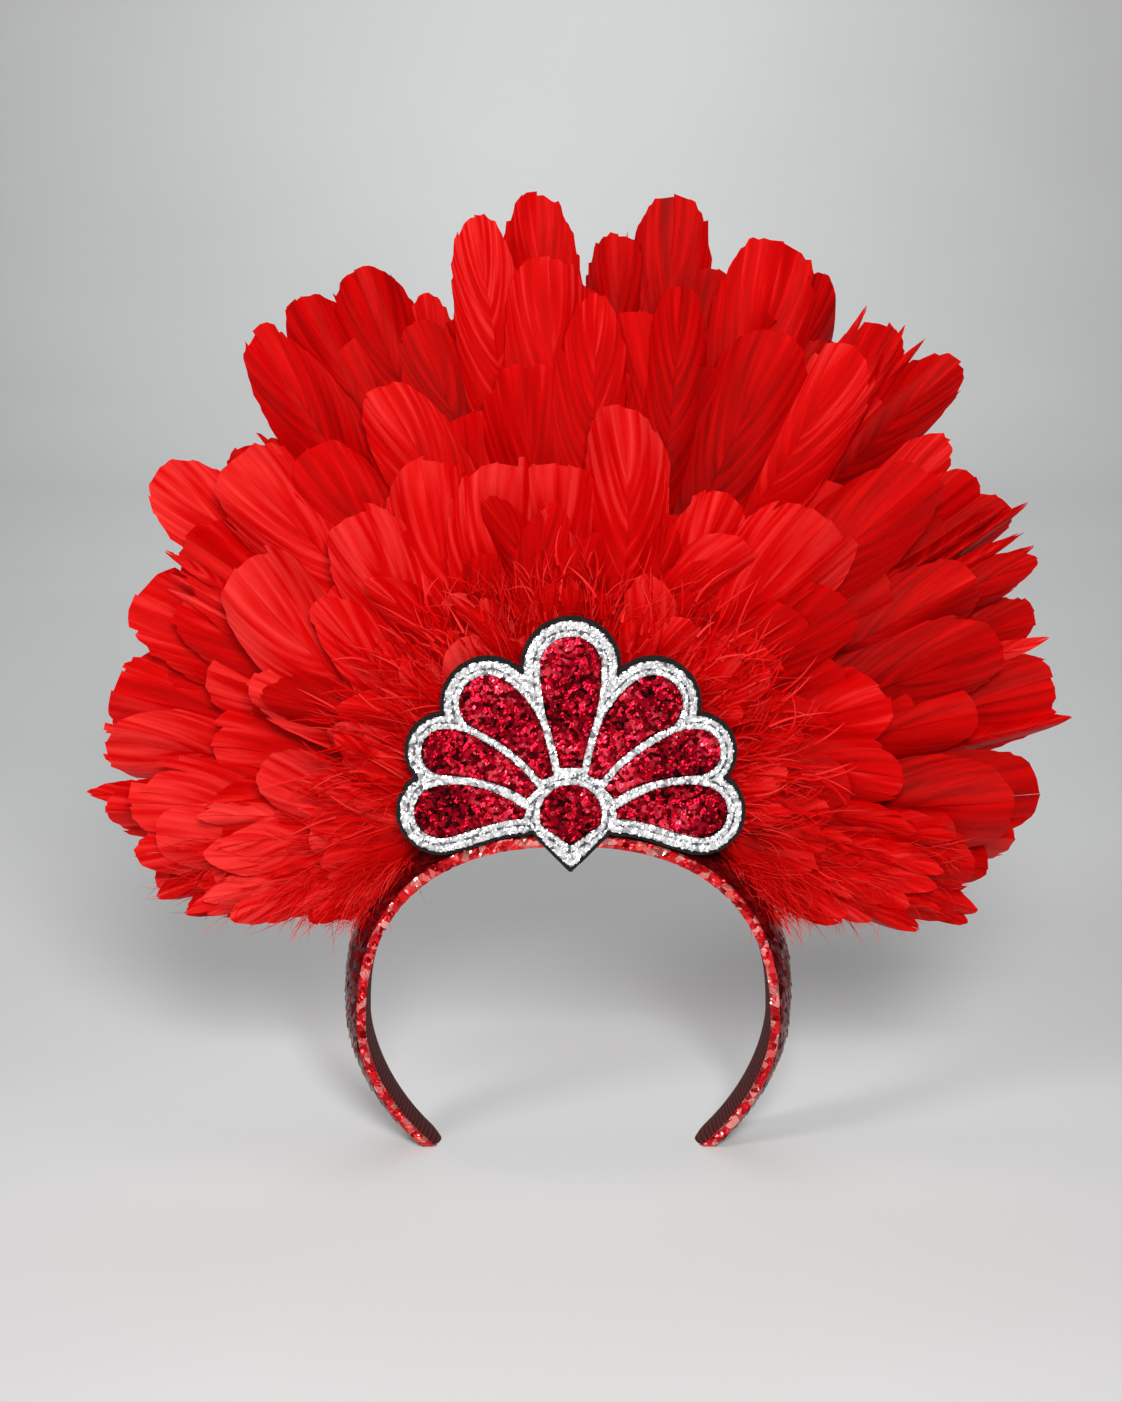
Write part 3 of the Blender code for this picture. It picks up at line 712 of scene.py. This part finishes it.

# %% [markdown]
# ## The dye of the feathers, and painted shade
#
# A dyed feather is not one red. Its barbs take the dye unevenly and show as streaks that run along
# them, and light shines through. Broad bands along the barbs are partly uneven dye and partly painted
# shade of soft folds, the root is darker with painted shade and the tip lighter with painted light,
# and feathers to the right carry painted shade. The pattern map counts millimetres across the barbs
# and along them, so the streaks follow every barb however it bends.

# %% Feather finish
HAIR_SCALE, BAND_SCALE = (4.2, 0.05, 0.0), (0.17, 0.03, 0.0)
DYE_BASE, TONE_SHARE, HAIR_SHARE, DYE_AND_FOLD_SHADE_SHARE, PAINTED_ROOT_SHADE_SHARE = 0.12, 0.42, 0.22, 0.85, 0.48
DYE_STOPS = [(0.0, (0.10, 0.0, 0.0)), (0.35, (0.40, 0.0, 0.0002)),
             (0.65, (0.66, 0.0006, 0.0012)), (1.0, (0.92, 0.045, 0.040))]
LIGHT_THROUGH = 0.22


def feather_finish(name):
    """Shade = base + tone + fine hairs + broad bands + painted root shade and tip light; part of the light
    goes through. The tone holds painted shade to the right, the bands painted fold shade, both with uneven
    dye.
    """
    finish = Finish(name, Roughness=0.42, Specular_IOR_Level=0.25, Specular_Tint=(1.0, 0.16, 0.13, 1.0))
    barbs = finish.node("ShaderNodeUVMap", {"uv_map": "Pattern"}, {})
    tone = finish.node("ShaderNodeAttribute", {"attribute_name": "tone"}, {}, "Fac")
    grown = finish.node("ShaderNodeAttribute", {"attribute_name": "grown"}, {}, "Fac")
    thin = finish.node("ShaderNodeVectorMath", {"operation": "MULTIPLY"}, {0: barbs, 1: HAIR_SCALE})
    broad = finish.node("ShaderNodeVectorMath", {"operation": "MULTIPLY"}, {0: barbs, 1: BAND_SCALE})
    # The broad bands are partly uneven dye and partly painted shade of soft folds.
    hairs, bands = finish.noise(thin, 1.0, 2.0), finish.noise(broad, 1.0, 1.5)
    # The grown term is painted shade at the root and painted light at the tip.
    shade = (DYE_BASE + tone * TONE_SHARE + (hairs - 0.5) * HAIR_SHARE + (bands - 0.5) * DYE_AND_FOLD_SHADE_SHARE
             + grown * PAINTED_ROOT_SHADE_SHARE)
    red = finish.ramp(shade, DYE_STOPS)
    relief = finish.bump(hairs, 0.35, 0.25)
    finish.use(Base_Color=red, Normal=relief)
    through = finish.node("ShaderNodeBsdfTranslucent", {}, {"Color": red, "Normal": relief})
    surface_light = Value(finish, finish.shader.outputs[0])
    both = finish.node("ShaderNodeMixShader", {}, {0: LIGHT_THROUGH, 1: surface_light, 2: through})
    finish.tree.links.new(both.socket, finish.tree.nodes["Material Output"].inputs["Surface"])
    return finish.material


feather_red = feather_finish("Dyed feather")
print("one feather finish")

# %% [markdown]
# ## One feather
#
# A feather is a shaft with a row of barbs on each side. Here each barb is one row of points that
# leaves the shaft, sweeps outwards and then forwards, and ends on the outline: long sides and a blunt
# round tip. Real barbs cling together in locks, so each side is cut into locks that part a little,
# lie at different depths and end unevenly.

# %% The vane
BARB_STEPS = 7
VANE_START = 0.05
VANE_WIDEST = 0.76
SIDE_SHARE = 0.55
BARB_ANGLE = math.tan(math.radians(15))
BREADTH_GAIN = 1.28
BLUNTNESS = 0.62
LOCK_OVERLAP, LOCK_SWING, LOCK_DEPTH = 0.02, 0.013, 0.7
LOCK_ENDS, BARB_ENDS = (-0.07, 0.02), 0.012
SHAFT_STEPS, SHAFT_END = 12, 0.95
SHAFT_RADIUS, SHAFT_TIP_RADIUS, SHAFT_FRONT = 0.35, 0.08, 0.15


def vane_width(step):
    """Share of the full breadth along the shaft before the tip: a slow rise from the quill."""
    rise = np.clip(step / VANE_WIDEST, 0.0, 1.0)
    return 0.15 + 0.85 * rise * rise * (3 - 2 * rise)


def outline_at(e, blunt):
    """Along the vane's edge from root to tip: place along the shaft, and share of the half breadth."""
    on_side = np.clip(e / SIDE_SHARE, 0.0, 1.0)
    around = np.clip((e - SIDE_SHARE) / (1 - SIDE_SHARE), 0.0, 1.0) * np.pi / 2
    place = VANE_START + (VANE_WIDEST - VANE_START) * on_side + (1 - VANE_WIDEST) * np.sin(around)
    return place, np.where(e < SIDE_SHARE, vane_width(place), np.cos(around) ** blunt)


def locks_of(barbs, count):
    """Cuts one side into locks, more of them near the tip: each barb's place and its lock's number."""
    cuts = np.sort(rng.beta(2.2, 1.3, count - 1))
    ends = np.concatenate([[0.0], cuts, [1.0]])
    sizes = np.maximum((np.diff(ends) * barbs).astype(int), 2)
    low, high = np.maximum(ends[:-1] - LOCK_OVERLAP, 0.0), np.minimum(ends[1:] + LOCK_OVERLAP, 1.0)
    e = np.concatenate([np.linspace(low[k], high[k], sizes[k]) for k in range(count)])
    return e, np.repeat(np.arange(count), sizes)


def vane(spot, length, breadth, barbs, looseness, pointed=0.0):
    """Both sides of a feather. spot(step, aside) gives the place of a point from its step along the
    shaft and its millimetres aside. Returns points, quads, uv and the step of each point."""
    everything = []
    first = 0
    for side in (-1.0, 1.0):
        count = int(rng.integers(3, 7))
        e, lock = locks_of(barbs, count)
        place, share = outline_at(e, BLUNTNESS + pointed)
        half = breadth / 2 * share
        advance = breadth / 2 / BARB_ANGLE / length * (0.3 + 0.7 * share) * (0.25 + 0.75 * e)
        root = np.maximum(place - advance, 0.02)
        swing = rng.normal(0.0, LOCK_SWING, count) * looseness
        swing[-1] = -abs(swing[-1])
        swing = swing[lock]
        deep = (rng.normal(0.0, LOCK_DEPTH, count) * looseness)[lock]
        ends = (1 + rng.uniform(*LOCK_ENDS, count) * looseness)[lock]
        ends = ends + rng.normal(0.0, BARB_ENDS, len(e)) * looseness
        q = np.linspace(0.0, 1.0, BARB_STEPS)
        forward = (place - root)[:, None] * ends[:, None] * q ** 1.25
        aside = half[:, None] * ends[:, None] * (1 - (1 - q) ** 1.5)
        turned = aside + forward * length * swing[:, None] * q ** 2
        step = root[:, None] + forward
        points = spot(step, side * turned)
        points[..., 1] += deep[:, None] * q ** 2
        quads = grid_faces(len(e), BARB_STEPS, first)
        joined = np.repeat(lock[:-1] == lock[1:], BARB_STEPS - 1)
        quads = quads[joined] if side > 0 else quads[joined][:, ::-1]
        offset = rng.uniform(0.0, 500.0)
        uv = np.stack([np.broadcast_to(offset + e[:, None] * length * 1.1, step.shape),
                       q * (place - root)[:, None] * length + offset], axis=-1)
        everything.append((points.reshape(-1, 3), quads, uv.reshape(-1, 2), step.ravel()))
        first += step.size
    return [np.concatenate(parts) for parts in zip(*everything)]


def shaft(spot, length):
    """A thin three sided rod in front of the vane, from the quill to just before the tip."""
    step = np.repeat(np.linspace(0.0, SHAFT_END, SHAFT_STEPS)[:, None], 3, axis=1)
    radius = SHAFT_RADIUS * (1 - step) + SHAFT_TIP_RADIUS
    turn = np.array((-0.5, 0.5, 1.5)) * np.pi
    points = spot(step, radius * np.cos(turn))
    points[..., 1] += radius * np.sin(turn) - SHAFT_FRONT
    ring = np.arange(3)
    start = np.arange(SHAFT_STEPS - 1)[:, None] * 3
    after = np.roll(ring, -1)
    quads = np.stack([start + ring, start + after, start + 3 + after, start + 3 + ring], axis=-1)
    uv = np.stack([np.broadcast_to(ring * 0.1, step.shape), step * length], axis=-1)
    return points.reshape(-1, 3), quads.reshape(-1, 4), uv.reshape(-1, 2), step.ravel()

# %% [markdown]
# ## The fan
#
# All feathers of the fan turn about one focus over the crown. A table gives each one's turn from
# upright, its reach, its breadth and its bow. The rows stand one behind the other and lean apart. Each
# feather is cupped, twisted and curled a little in its own way. Between every two feathers of the
# table grows a shorter one, which fills the row as on the real fan.

# %% Rows of the fan
FOCUS_Z = 117.0
ROOT_START = 5.0
LEAN_POWER = 1.5
RUFFLE_TURN = 2.6
DEPTH_LIMITS = (-33.0, 35.0)
BARBS_PER_MM, FEWEST_BARBS, MOST_BARBS = 0.33, 18, 54
NARROW_AND_BROAD, POINTED_AND_ROUND = (8.0, 20.0), (0.9, 0.0)
TONE_SPREAD, PAINTED_SHADE_TO_THE_RIGHT = 0.2, 0.24

BACK_ROW = [
    # turn, reach, breadth, bow
    (-84, 157, 23, 0), (-78, 157, 30, 0), (-65, 158, 29, 0), (-55, 163, 16, 0), (-52, 174, 25, 0),
    (-34, 186, 24, 0), (-28, 188, 25, 0), (-22, 188, 25, 0), (-16, 173, 18, -5), (-9, 195, 20, 0),
    (-3, 199, 24, 0), (2, 169, 18, 2), (5, 187, 20, 4), (10, 203, 27, 6), (21, 197, 32, 8),
    (26, 192, 18, 6), (34, 189, 24, 4), (42, 194, 21, -6), (47, 173, 20, 0), (52, 172, 19, 0),
    (57, 176, 20, -5), (63, 175, 16, -3), (69, 167, 20, 0), (78, 167, 30, 0)]
SECOND_ROW = [
    (-81, 121, 26, 0), (-70, 128, 25, 0), (-63, 145, 24, 0), (-55, 154, 28, 0), (-44, 158, 28, 0),
    (-36, 146, 24, 0), (-24, 151, 23, 5), (-6, 147, 25, 0), (-2, 180, 27, 0), (3, 170, 20, 2),
    (8, 164, 26, 14), (12, 175, 18, 8), (24, 171, 30, 0), (32, 178, 24, 0), (47, 162, 27, 0),
    (61, 154, 24, 0), (70, 154, 26, 0), (78, 139, 22, 0)]
FRONT_ROW = [
    (-68, 113, 18, 0), (-53, 135, 26, -11), (-36, 122, 25, -5), (-22, 127, 29, -9), (-11, 119, 27, -8),
    (-2, 115, 24, 0), (7, 136, 23, 9), (26, 118, 20, 3), (41, 129, 32, 0), (52, 115, 24, 0),
    (70, 112, 24, 0)]
BACK_SPIKES = [
    (56.4, 175, 7, 0), (57.6, 181, 6, 2), (59.8, 175, 6, 0), (62, 176, 7, 0), (71.9, 169, 8, 0),
    (81.8, 171, 9, 3), (31.1, 190, 5, 4), (35.2, 192, 6, 8), (37.8, 192, 6, -4)]
SECOND_SPIKES = [(-57.5, 157, 5, 0), (-59.8, 152, 5, 0), (-61.4, 150, 4, 0)]


def even_fan(widest, count, reach, breadth):
    """Equal feathers spread evenly to both sides, every other one a little shorter."""
    return [(turn, reach * (0.94 if number % 2 else 1.0), breadth, 0)
            for number, turn in enumerate(np.linspace(-widest, widest, count))]


def fillers(row, share=0.9):
    """A shorter feather halfway between every two neighbours of a row."""
    made = []
    for (turn_a, reach_a, breadth_a, _), (turn_b, reach_b, breadth_b, _) in zip(row, row[1:]):
        reach = min(reach_a, reach_b) * share * rng.uniform(0.93, 1.02)
        made.append(((turn_a + turn_b) / 2 + rng.uniform(-1.5, 1.5), reach,
                     (breadth_a + breadth_b) / 2, rng.uniform(-5, 5)))
    return made


def fan_feather(row, depth, lean, root, start, look):
    """The spot function of one feather: straight from the root, bowed, leaning, cupped and curled."""
    turn_deg, reach, breadth, bow = row
    turn = math.radians(turn_deg)
    along = np.array((math.sin(turn), math.cos(turn)))
    across = np.array((math.cos(turn), -math.sin(turn)))
    half = breadth / 2

    def spot(step, aside):
        middle = start + (reach - start) * step
        flat = (np.array(root) + along * middle[..., None]
                + across * (bow * 4 * step * (1 - step) + aside)[..., None])
        away = np.hypot(flat[..., 0], flat[..., 1] - FOCUS_Z)
        share = aside / half
        back = (depth + lean * (away / 100.0) ** LEAN_POWER + look["cup"] * share ** 2 * step
                + look["twist"] * aside * step + look["curl"] * np.clip(step - 0.45, 0, 1) ** 2 * 3.3
                + look["wave"] * np.sin(step * 9 + look["phase"]) * step * share
                + look["fold"] * np.sin(0.4 * aside + look["skew"] * step + look["phase"]) * step)
        return np.stack([flat[..., 0], back, flat[..., 1]], axis=-1)
    return spot, reach - start


def grow(name, groups, nodes):
    """One piece from groups of feathers, each (rows, depth, lean, ruffle, root, start, tone, curl)."""
    points, quads, uv, grown, tones = [], [], [], [], []
    first = 0
    for rows, depth, lean, ruffle, root, start, tone, curl in groups:
        for number, row in enumerate(rows):
            look = {"cup": rng.uniform(1.5, 7.0), "twist": rng.normal(0.04, 0.16),
                    "phase": rng.uniform(0, 6), "curl": curl * rng.uniform(-0.3, 1.5),
                    "wave": rng.uniform(0.2, 1.6), "fold": rng.uniform(0.2, 1.1),
                    "skew": rng.uniform(-7.0, 7.0)}
            own_lean = lean + ruffle * math.sin(RUFFLE_TURN * number)
            spot, length = fan_feather(row, depth, own_lean, root, start, look)
            barbs = int(np.clip(length * BARBS_PER_MM, FEWEST_BARBS, MOST_BARBS))
            pointed = np.interp(row[2], NARROW_AND_BROAD, POINTED_AND_ROUND) + rng.uniform(-0.15, 0.15)
            looseness = rng.uniform(0.7, 1.5)
            # Painted shade: each feather is darker the further right it stands, as under a lamp on the left.
            own_tone = (tone + rng.normal(0.0, TONE_SPREAD)
                        - PAINTED_SHADE_TO_THE_RIGHT * math.sin(math.radians(row[0])))
            breadth = row[2] * BREADTH_GAIN
            for part in (vane(spot, length, breadth, barbs, looseness, pointed), shaft(spot, length)):
                points.append(part[0])
                quads.append(part[1] + first)
                uv.append(part[2])
                grown.append(part[3])
                tones.append(np.full(len(part[0]), own_tone))
                first += len(part[0])
    points = np.concatenate(points)
    points[:, 1] = np.clip(points[:, 1], *DEPTH_LIMITS)
    piece = surface(name, points, [np.concatenate(quads)], feather_red, np.concatenate(uv),
                    tone=np.concatenate(tones), grown=np.concatenate(grown))
    dress(piece, "red_feather", *nodes)


CENTRE = (0.0, FOCUS_Z)
# In the tone column, rows and fillers that lie further back are darker: painted shade between the rows.
grow("Feathers_back_row", [(BACK_ROW, 9.0, 4.4, 1.5, CENTRE, ROOT_START, -0.15, 4.0),
                           (BACK_SPIKES, 8.0, 4.4, 1.0, CENTRE, ROOT_START, 0.05, 1.0),
                           (fillers(BACK_ROW, 0.94), 10.5, 4.4, 1.2, CENTRE, ROOT_START, -0.35, 5.0)],
     ["feathers_back_row"])
grow("Feathers_second_row", [(SECOND_ROW, 3.0, 0.2, 1.5, CENTRE, ROOT_START, 0.12, 2.0),
                             (SECOND_SPIKES, 1.5, 0.2, 0.5, CENTRE, ROOT_START, 0.35, 0.0),
                             (fillers(SECOND_ROW), 5.0, 0.8, 1.2, CENTRE, ROOT_START, -0.12, 3.0)],
     ["feathers_second_row"])
FRONT_LOW = [(turn + rng.uniform(-5, 5), rng.uniform(68, 112), rng.uniform(10, 22), rng.uniform(-12, 12))
             for turn in np.linspace(-86, 86, 30)]
grow("Feathers_front_row", [(FRONT_ROW, -3.0, -7.0, 1.5, CENTRE, ROOT_START, 0.35, -2.0),
                            (FRONT_LOW, -6.0, -10.0, 1.2, CENTRE, ROOT_START, 0.15, -2.0),
                            (fillers(FRONT_ROW), -1.0, -5.0, 1.2, CENTRE, ROOT_START, 0.05, 0.0)],
     ["feathers_front_row"])
COLLAR = [(turn + rng.uniform(-5, 5), rng.uniform(62, 86), rng.uniform(8, 19), rng.uniform(-9, 9))
          for turn in np.linspace(-88, 88, 28)]
grow("Feathers_collar", [(COLLAR, -9.0, -13.0, 1.0, CENTRE, ROOT_START, 0.25, -2.0),
                         (fillers(COLLAR, 0.95), -8.0, -11.0, 1.0, CENTRE, ROOT_START, 0.15, 0.0)],
     ["feathers_collar"])
BACK_COVER = even_fan(82, 13, 118, 25)
grow("Feathers_back_cover", [(BACK_COVER, 15.0, 8.0, 0.6, CENTRE, ROOT_START, 0.0, 2.0),
                             (fillers(BACK_COVER, 0.85), 16.5, 9.0, 0.6, CENTRE, ROOT_START, 0.1, 2.0)],
     ["feathers_back_cover"])

# %% [markdown]
# ## Side plumes
#
# The lowest feathers grow from the two shoulders of the band and lie almost level. Narrow ragged ones
# fray their lower edge, and a fringe hangs over the band and ends at one height.

# %% Side plumes
SHOULDER = (42.0, 110.5)
LEFT_OUTER = [(87, 120, 9, 0), (90, 113, 18, 0), (103, 100, 19, 0)]
LEFT_INNER = [(86, 104, 22, 0), (96, 102, 17, 0), (108, 83, 21, 0)]
RIGHT_OUTER = [(87, 117, 27, 0), (95, 109, 18, 0), (101, 101, 18, 0)]
RIGHT_INNER = [(86, 107, 27, 0), (100, 95, 20, 0), (110, 76, 20, 0)]
FLUFF = [(80, 46, 16, 0), (95, 44, 16, 0), (108, 42, 15, 0)]
FRINGE_DROP = 31.0


def ragged(count, reaches, turns):
    """Narrow plumes at random within the given ranges of reach and turn."""
    return [(rng.uniform(*turns), rng.uniform(*reaches), rng.uniform(6, 12), rng.uniform(-6, 6))
            for _ in range(count)]


def to_fringe(turns, share):
    """Reach from the shoulder down to the level of the fringe: drop / -cos(turn)."""
    return share * FRINGE_DROP / -np.cos(np.radians(turns))


def fringe(count):
    """Narrow plumes that hang over the shoulder of the band and end at one level."""
    turns = rng.uniform(108, 133, count)
    return [(turn, reach, breadth, bow) for turn, reach, breadth, bow in zip(
        turns, to_fringe(turns, rng.uniform(0.7, 1.03, count)), rng.uniform(7, 13, count),
        rng.uniform(-3, 1, count))]


def to_side(rows, side):
    """The rows mirrored to the left for side -1."""
    return [(side * turn, reach, breadth, side * bow) for turn, reach, breadth, bow in rows]


# Here too the plumes that lie further back mostly take a lower tone: painted shade.
for name, side, outer, inner in (("left", -1, LEFT_OUTER, LEFT_INNER),
                                 ("right", 1, RIGHT_OUTER, RIGHT_INNER)):
    root = (side * SHOULDER[0], SHOULDER[1])
    grow(f"Side_plumes_{name}", [
        (to_side(outer, side), 6.0, 2.8, 0.3, root, 0.0, -0.05, 2.0),
        (to_side(fillers(outer, 0.95), side), 7.0, 2.8, 0.3, root, 0.0, -0.2, 2.0),
        (to_side(inner, side), 0.0, -2.0, 0.3, root, 0.0, 0.1, -1.0),
        (to_side(fillers(inner, 0.95), side), -2.0, -3.0, 0.3, root, 0.0, 0.15, -1.0),
        (to_side(ragged(16, (60, 100), (92, 112)), side), 3.0, 0.0, 2.5, root, 0.0, 0.0, 1.0),
        (to_side(ragged(22, (38, 88), (84, 116)), side), -4.0, -5.0, 2.5, root, 0.0, 0.2, -2.0),
        (to_side(fringe(18), side), -8.0, -2.0, 1.5, root, 0.0, 0.2, -1.0),
        (to_side(fringe(18), side), 2.0, 2.0, 2.5, root, 0.0, 0.0, 1.0),
        (to_side(FLUFF, side), -9.0, -6.0, 0.5, root, 0.0, 0.0, 0.0)], [f"side_plumes_{name}"])

# %% [markdown]
# ## Down
#
# Round the emblem and along the lower edge the feathers end in loose down: fine single barbs, with
# broader wisps among them. Each is a narrow ribbon of a few faces that bends along a parabola and
# thins to a point.

# %% Strands of down
STRAND_STEPS = 6
DOWN_FRONT, DOWN_BACK = -32.0, 30.0


def strands(roots, directions, lengths, bends, width):
    """Ribbons: root + direction l s + bend l s^2, with a width that falls to nothing at s = 1."""
    s = np.linspace(0.0, 1.0, STRAND_STEPS)[None, :, None]
    l = lengths[:, None, None]
    middle = roots[:, None] + directions[:, None] * l * s + bends[:, None] * l * s ** 2
    ahead = np.gradient(middle, axis=1)
    aside = np.cross(ahead, (0.15, 1.0, 0.1))
    aside /= np.maximum(np.linalg.norm(aside, axis=-1, keepdims=True), 1e-6)
    reach = aside * width / 2 * (1 - s) ** 0.6
    points = np.stack([middle - reach, middle + reach], axis=2)
    number = np.arange(len(roots))[:, None] * STRAND_STEPS * 2 + np.arange(STRAND_STEPS - 1) * 2
    quads = np.stack([number, number + 1, number + 3, number + 2], axis=-1).reshape(-1, 4)
    grown = np.broadcast_to(s[..., None], (len(roots), STRAND_STEPS, 2, 1)).ravel()
    return points.reshape(-1, 3), quads, grown


def down(name, turns, starts, depths, lengths, root, tone, spread, droop, width=0.28):
    """Strands that leave a centre outwards at given turns, starting some way from it."""
    count = len(turns)
    angle = np.radians(turns)
    roots = np.stack([root[0] + np.sin(angle) * starts, depths, root[1] + np.cos(angle) * starts], axis=1)
    aim = angle + rng.normal(0.0, spread, count)
    directions = np.stack([np.sin(aim), rng.normal(-0.08, 0.22, count), np.cos(aim)], axis=1)
    bends = rng.normal(0.0, 0.3, (count, 3)) - (0.0, 0.0, droop)
    points, quads, grown = strands(roots, directions, lengths, bends, width)
    points[:, 1] = np.clip(points[:, 1], DOWN_FRONT, DOWN_BACK)
    # Down takes half the painted root shade of a feather.
    grown = 0.5 + 0.5 * grown
    uv = np.stack([np.repeat(rng.uniform(0, 300, count), STRAND_STEPS * 2), grown * 12], axis=1)
    tones = np.repeat(rng.normal(tone, 0.25, count), STRAND_STEPS * 2)
    dress(surface(name, points, [quads], feather_red, uv, tone=tones, grown=grown), "red_feather")


def before_collar(starts):
    """Depth of the collar's front at a distance from the focus: it leans forward with power 1.5."""
    return -13.5 * (starts / 100) ** LEAN_POWER


count = 1500
turns = rng.uniform(-97, 97, count)
starts = rng.uniform(38.0, 80.0, count)
down("Down_round_emblem", turns, starts, before_collar(starts) - 9.0 - rng.uniform(-1.0, 2.5, count),
     rng.uniform(6.0, 15.0, count), CENTRE, 0.5, spread=0.35, droop=0.1)
count = 460
turns = rng.uniform(-95, 95, count)
starts = rng.uniform(36.0, 84.0, count)
down("Wisps_round_emblem", turns, starts, before_collar(starts) - 10.5 - rng.uniform(0.0, 2.0, count),
     rng.uniform(8.0, 18.0, count), CENTRE, 0.5, spread=0.22, droop=0.05, width=0.9)
for name, side in (("left", -1), ("right", 1)):
    count = 1900
    turns = rng.uniform(93, 141, count)
    starts = np.minimum(to_fringe(turns, rng.uniform(0.3, 0.97, count)), rng.uniform(20.0, 88.0, count))
    down(f"Down_of_side_plumes_{name}", side * turns, starts, rng.uniform(-15.0, 5.0, count),
         rng.uniform(5.0, 13.0, count), (side * SHOULDER[0], SHOULDER[1]), 0.4, spread=0.25, droop=0.1)
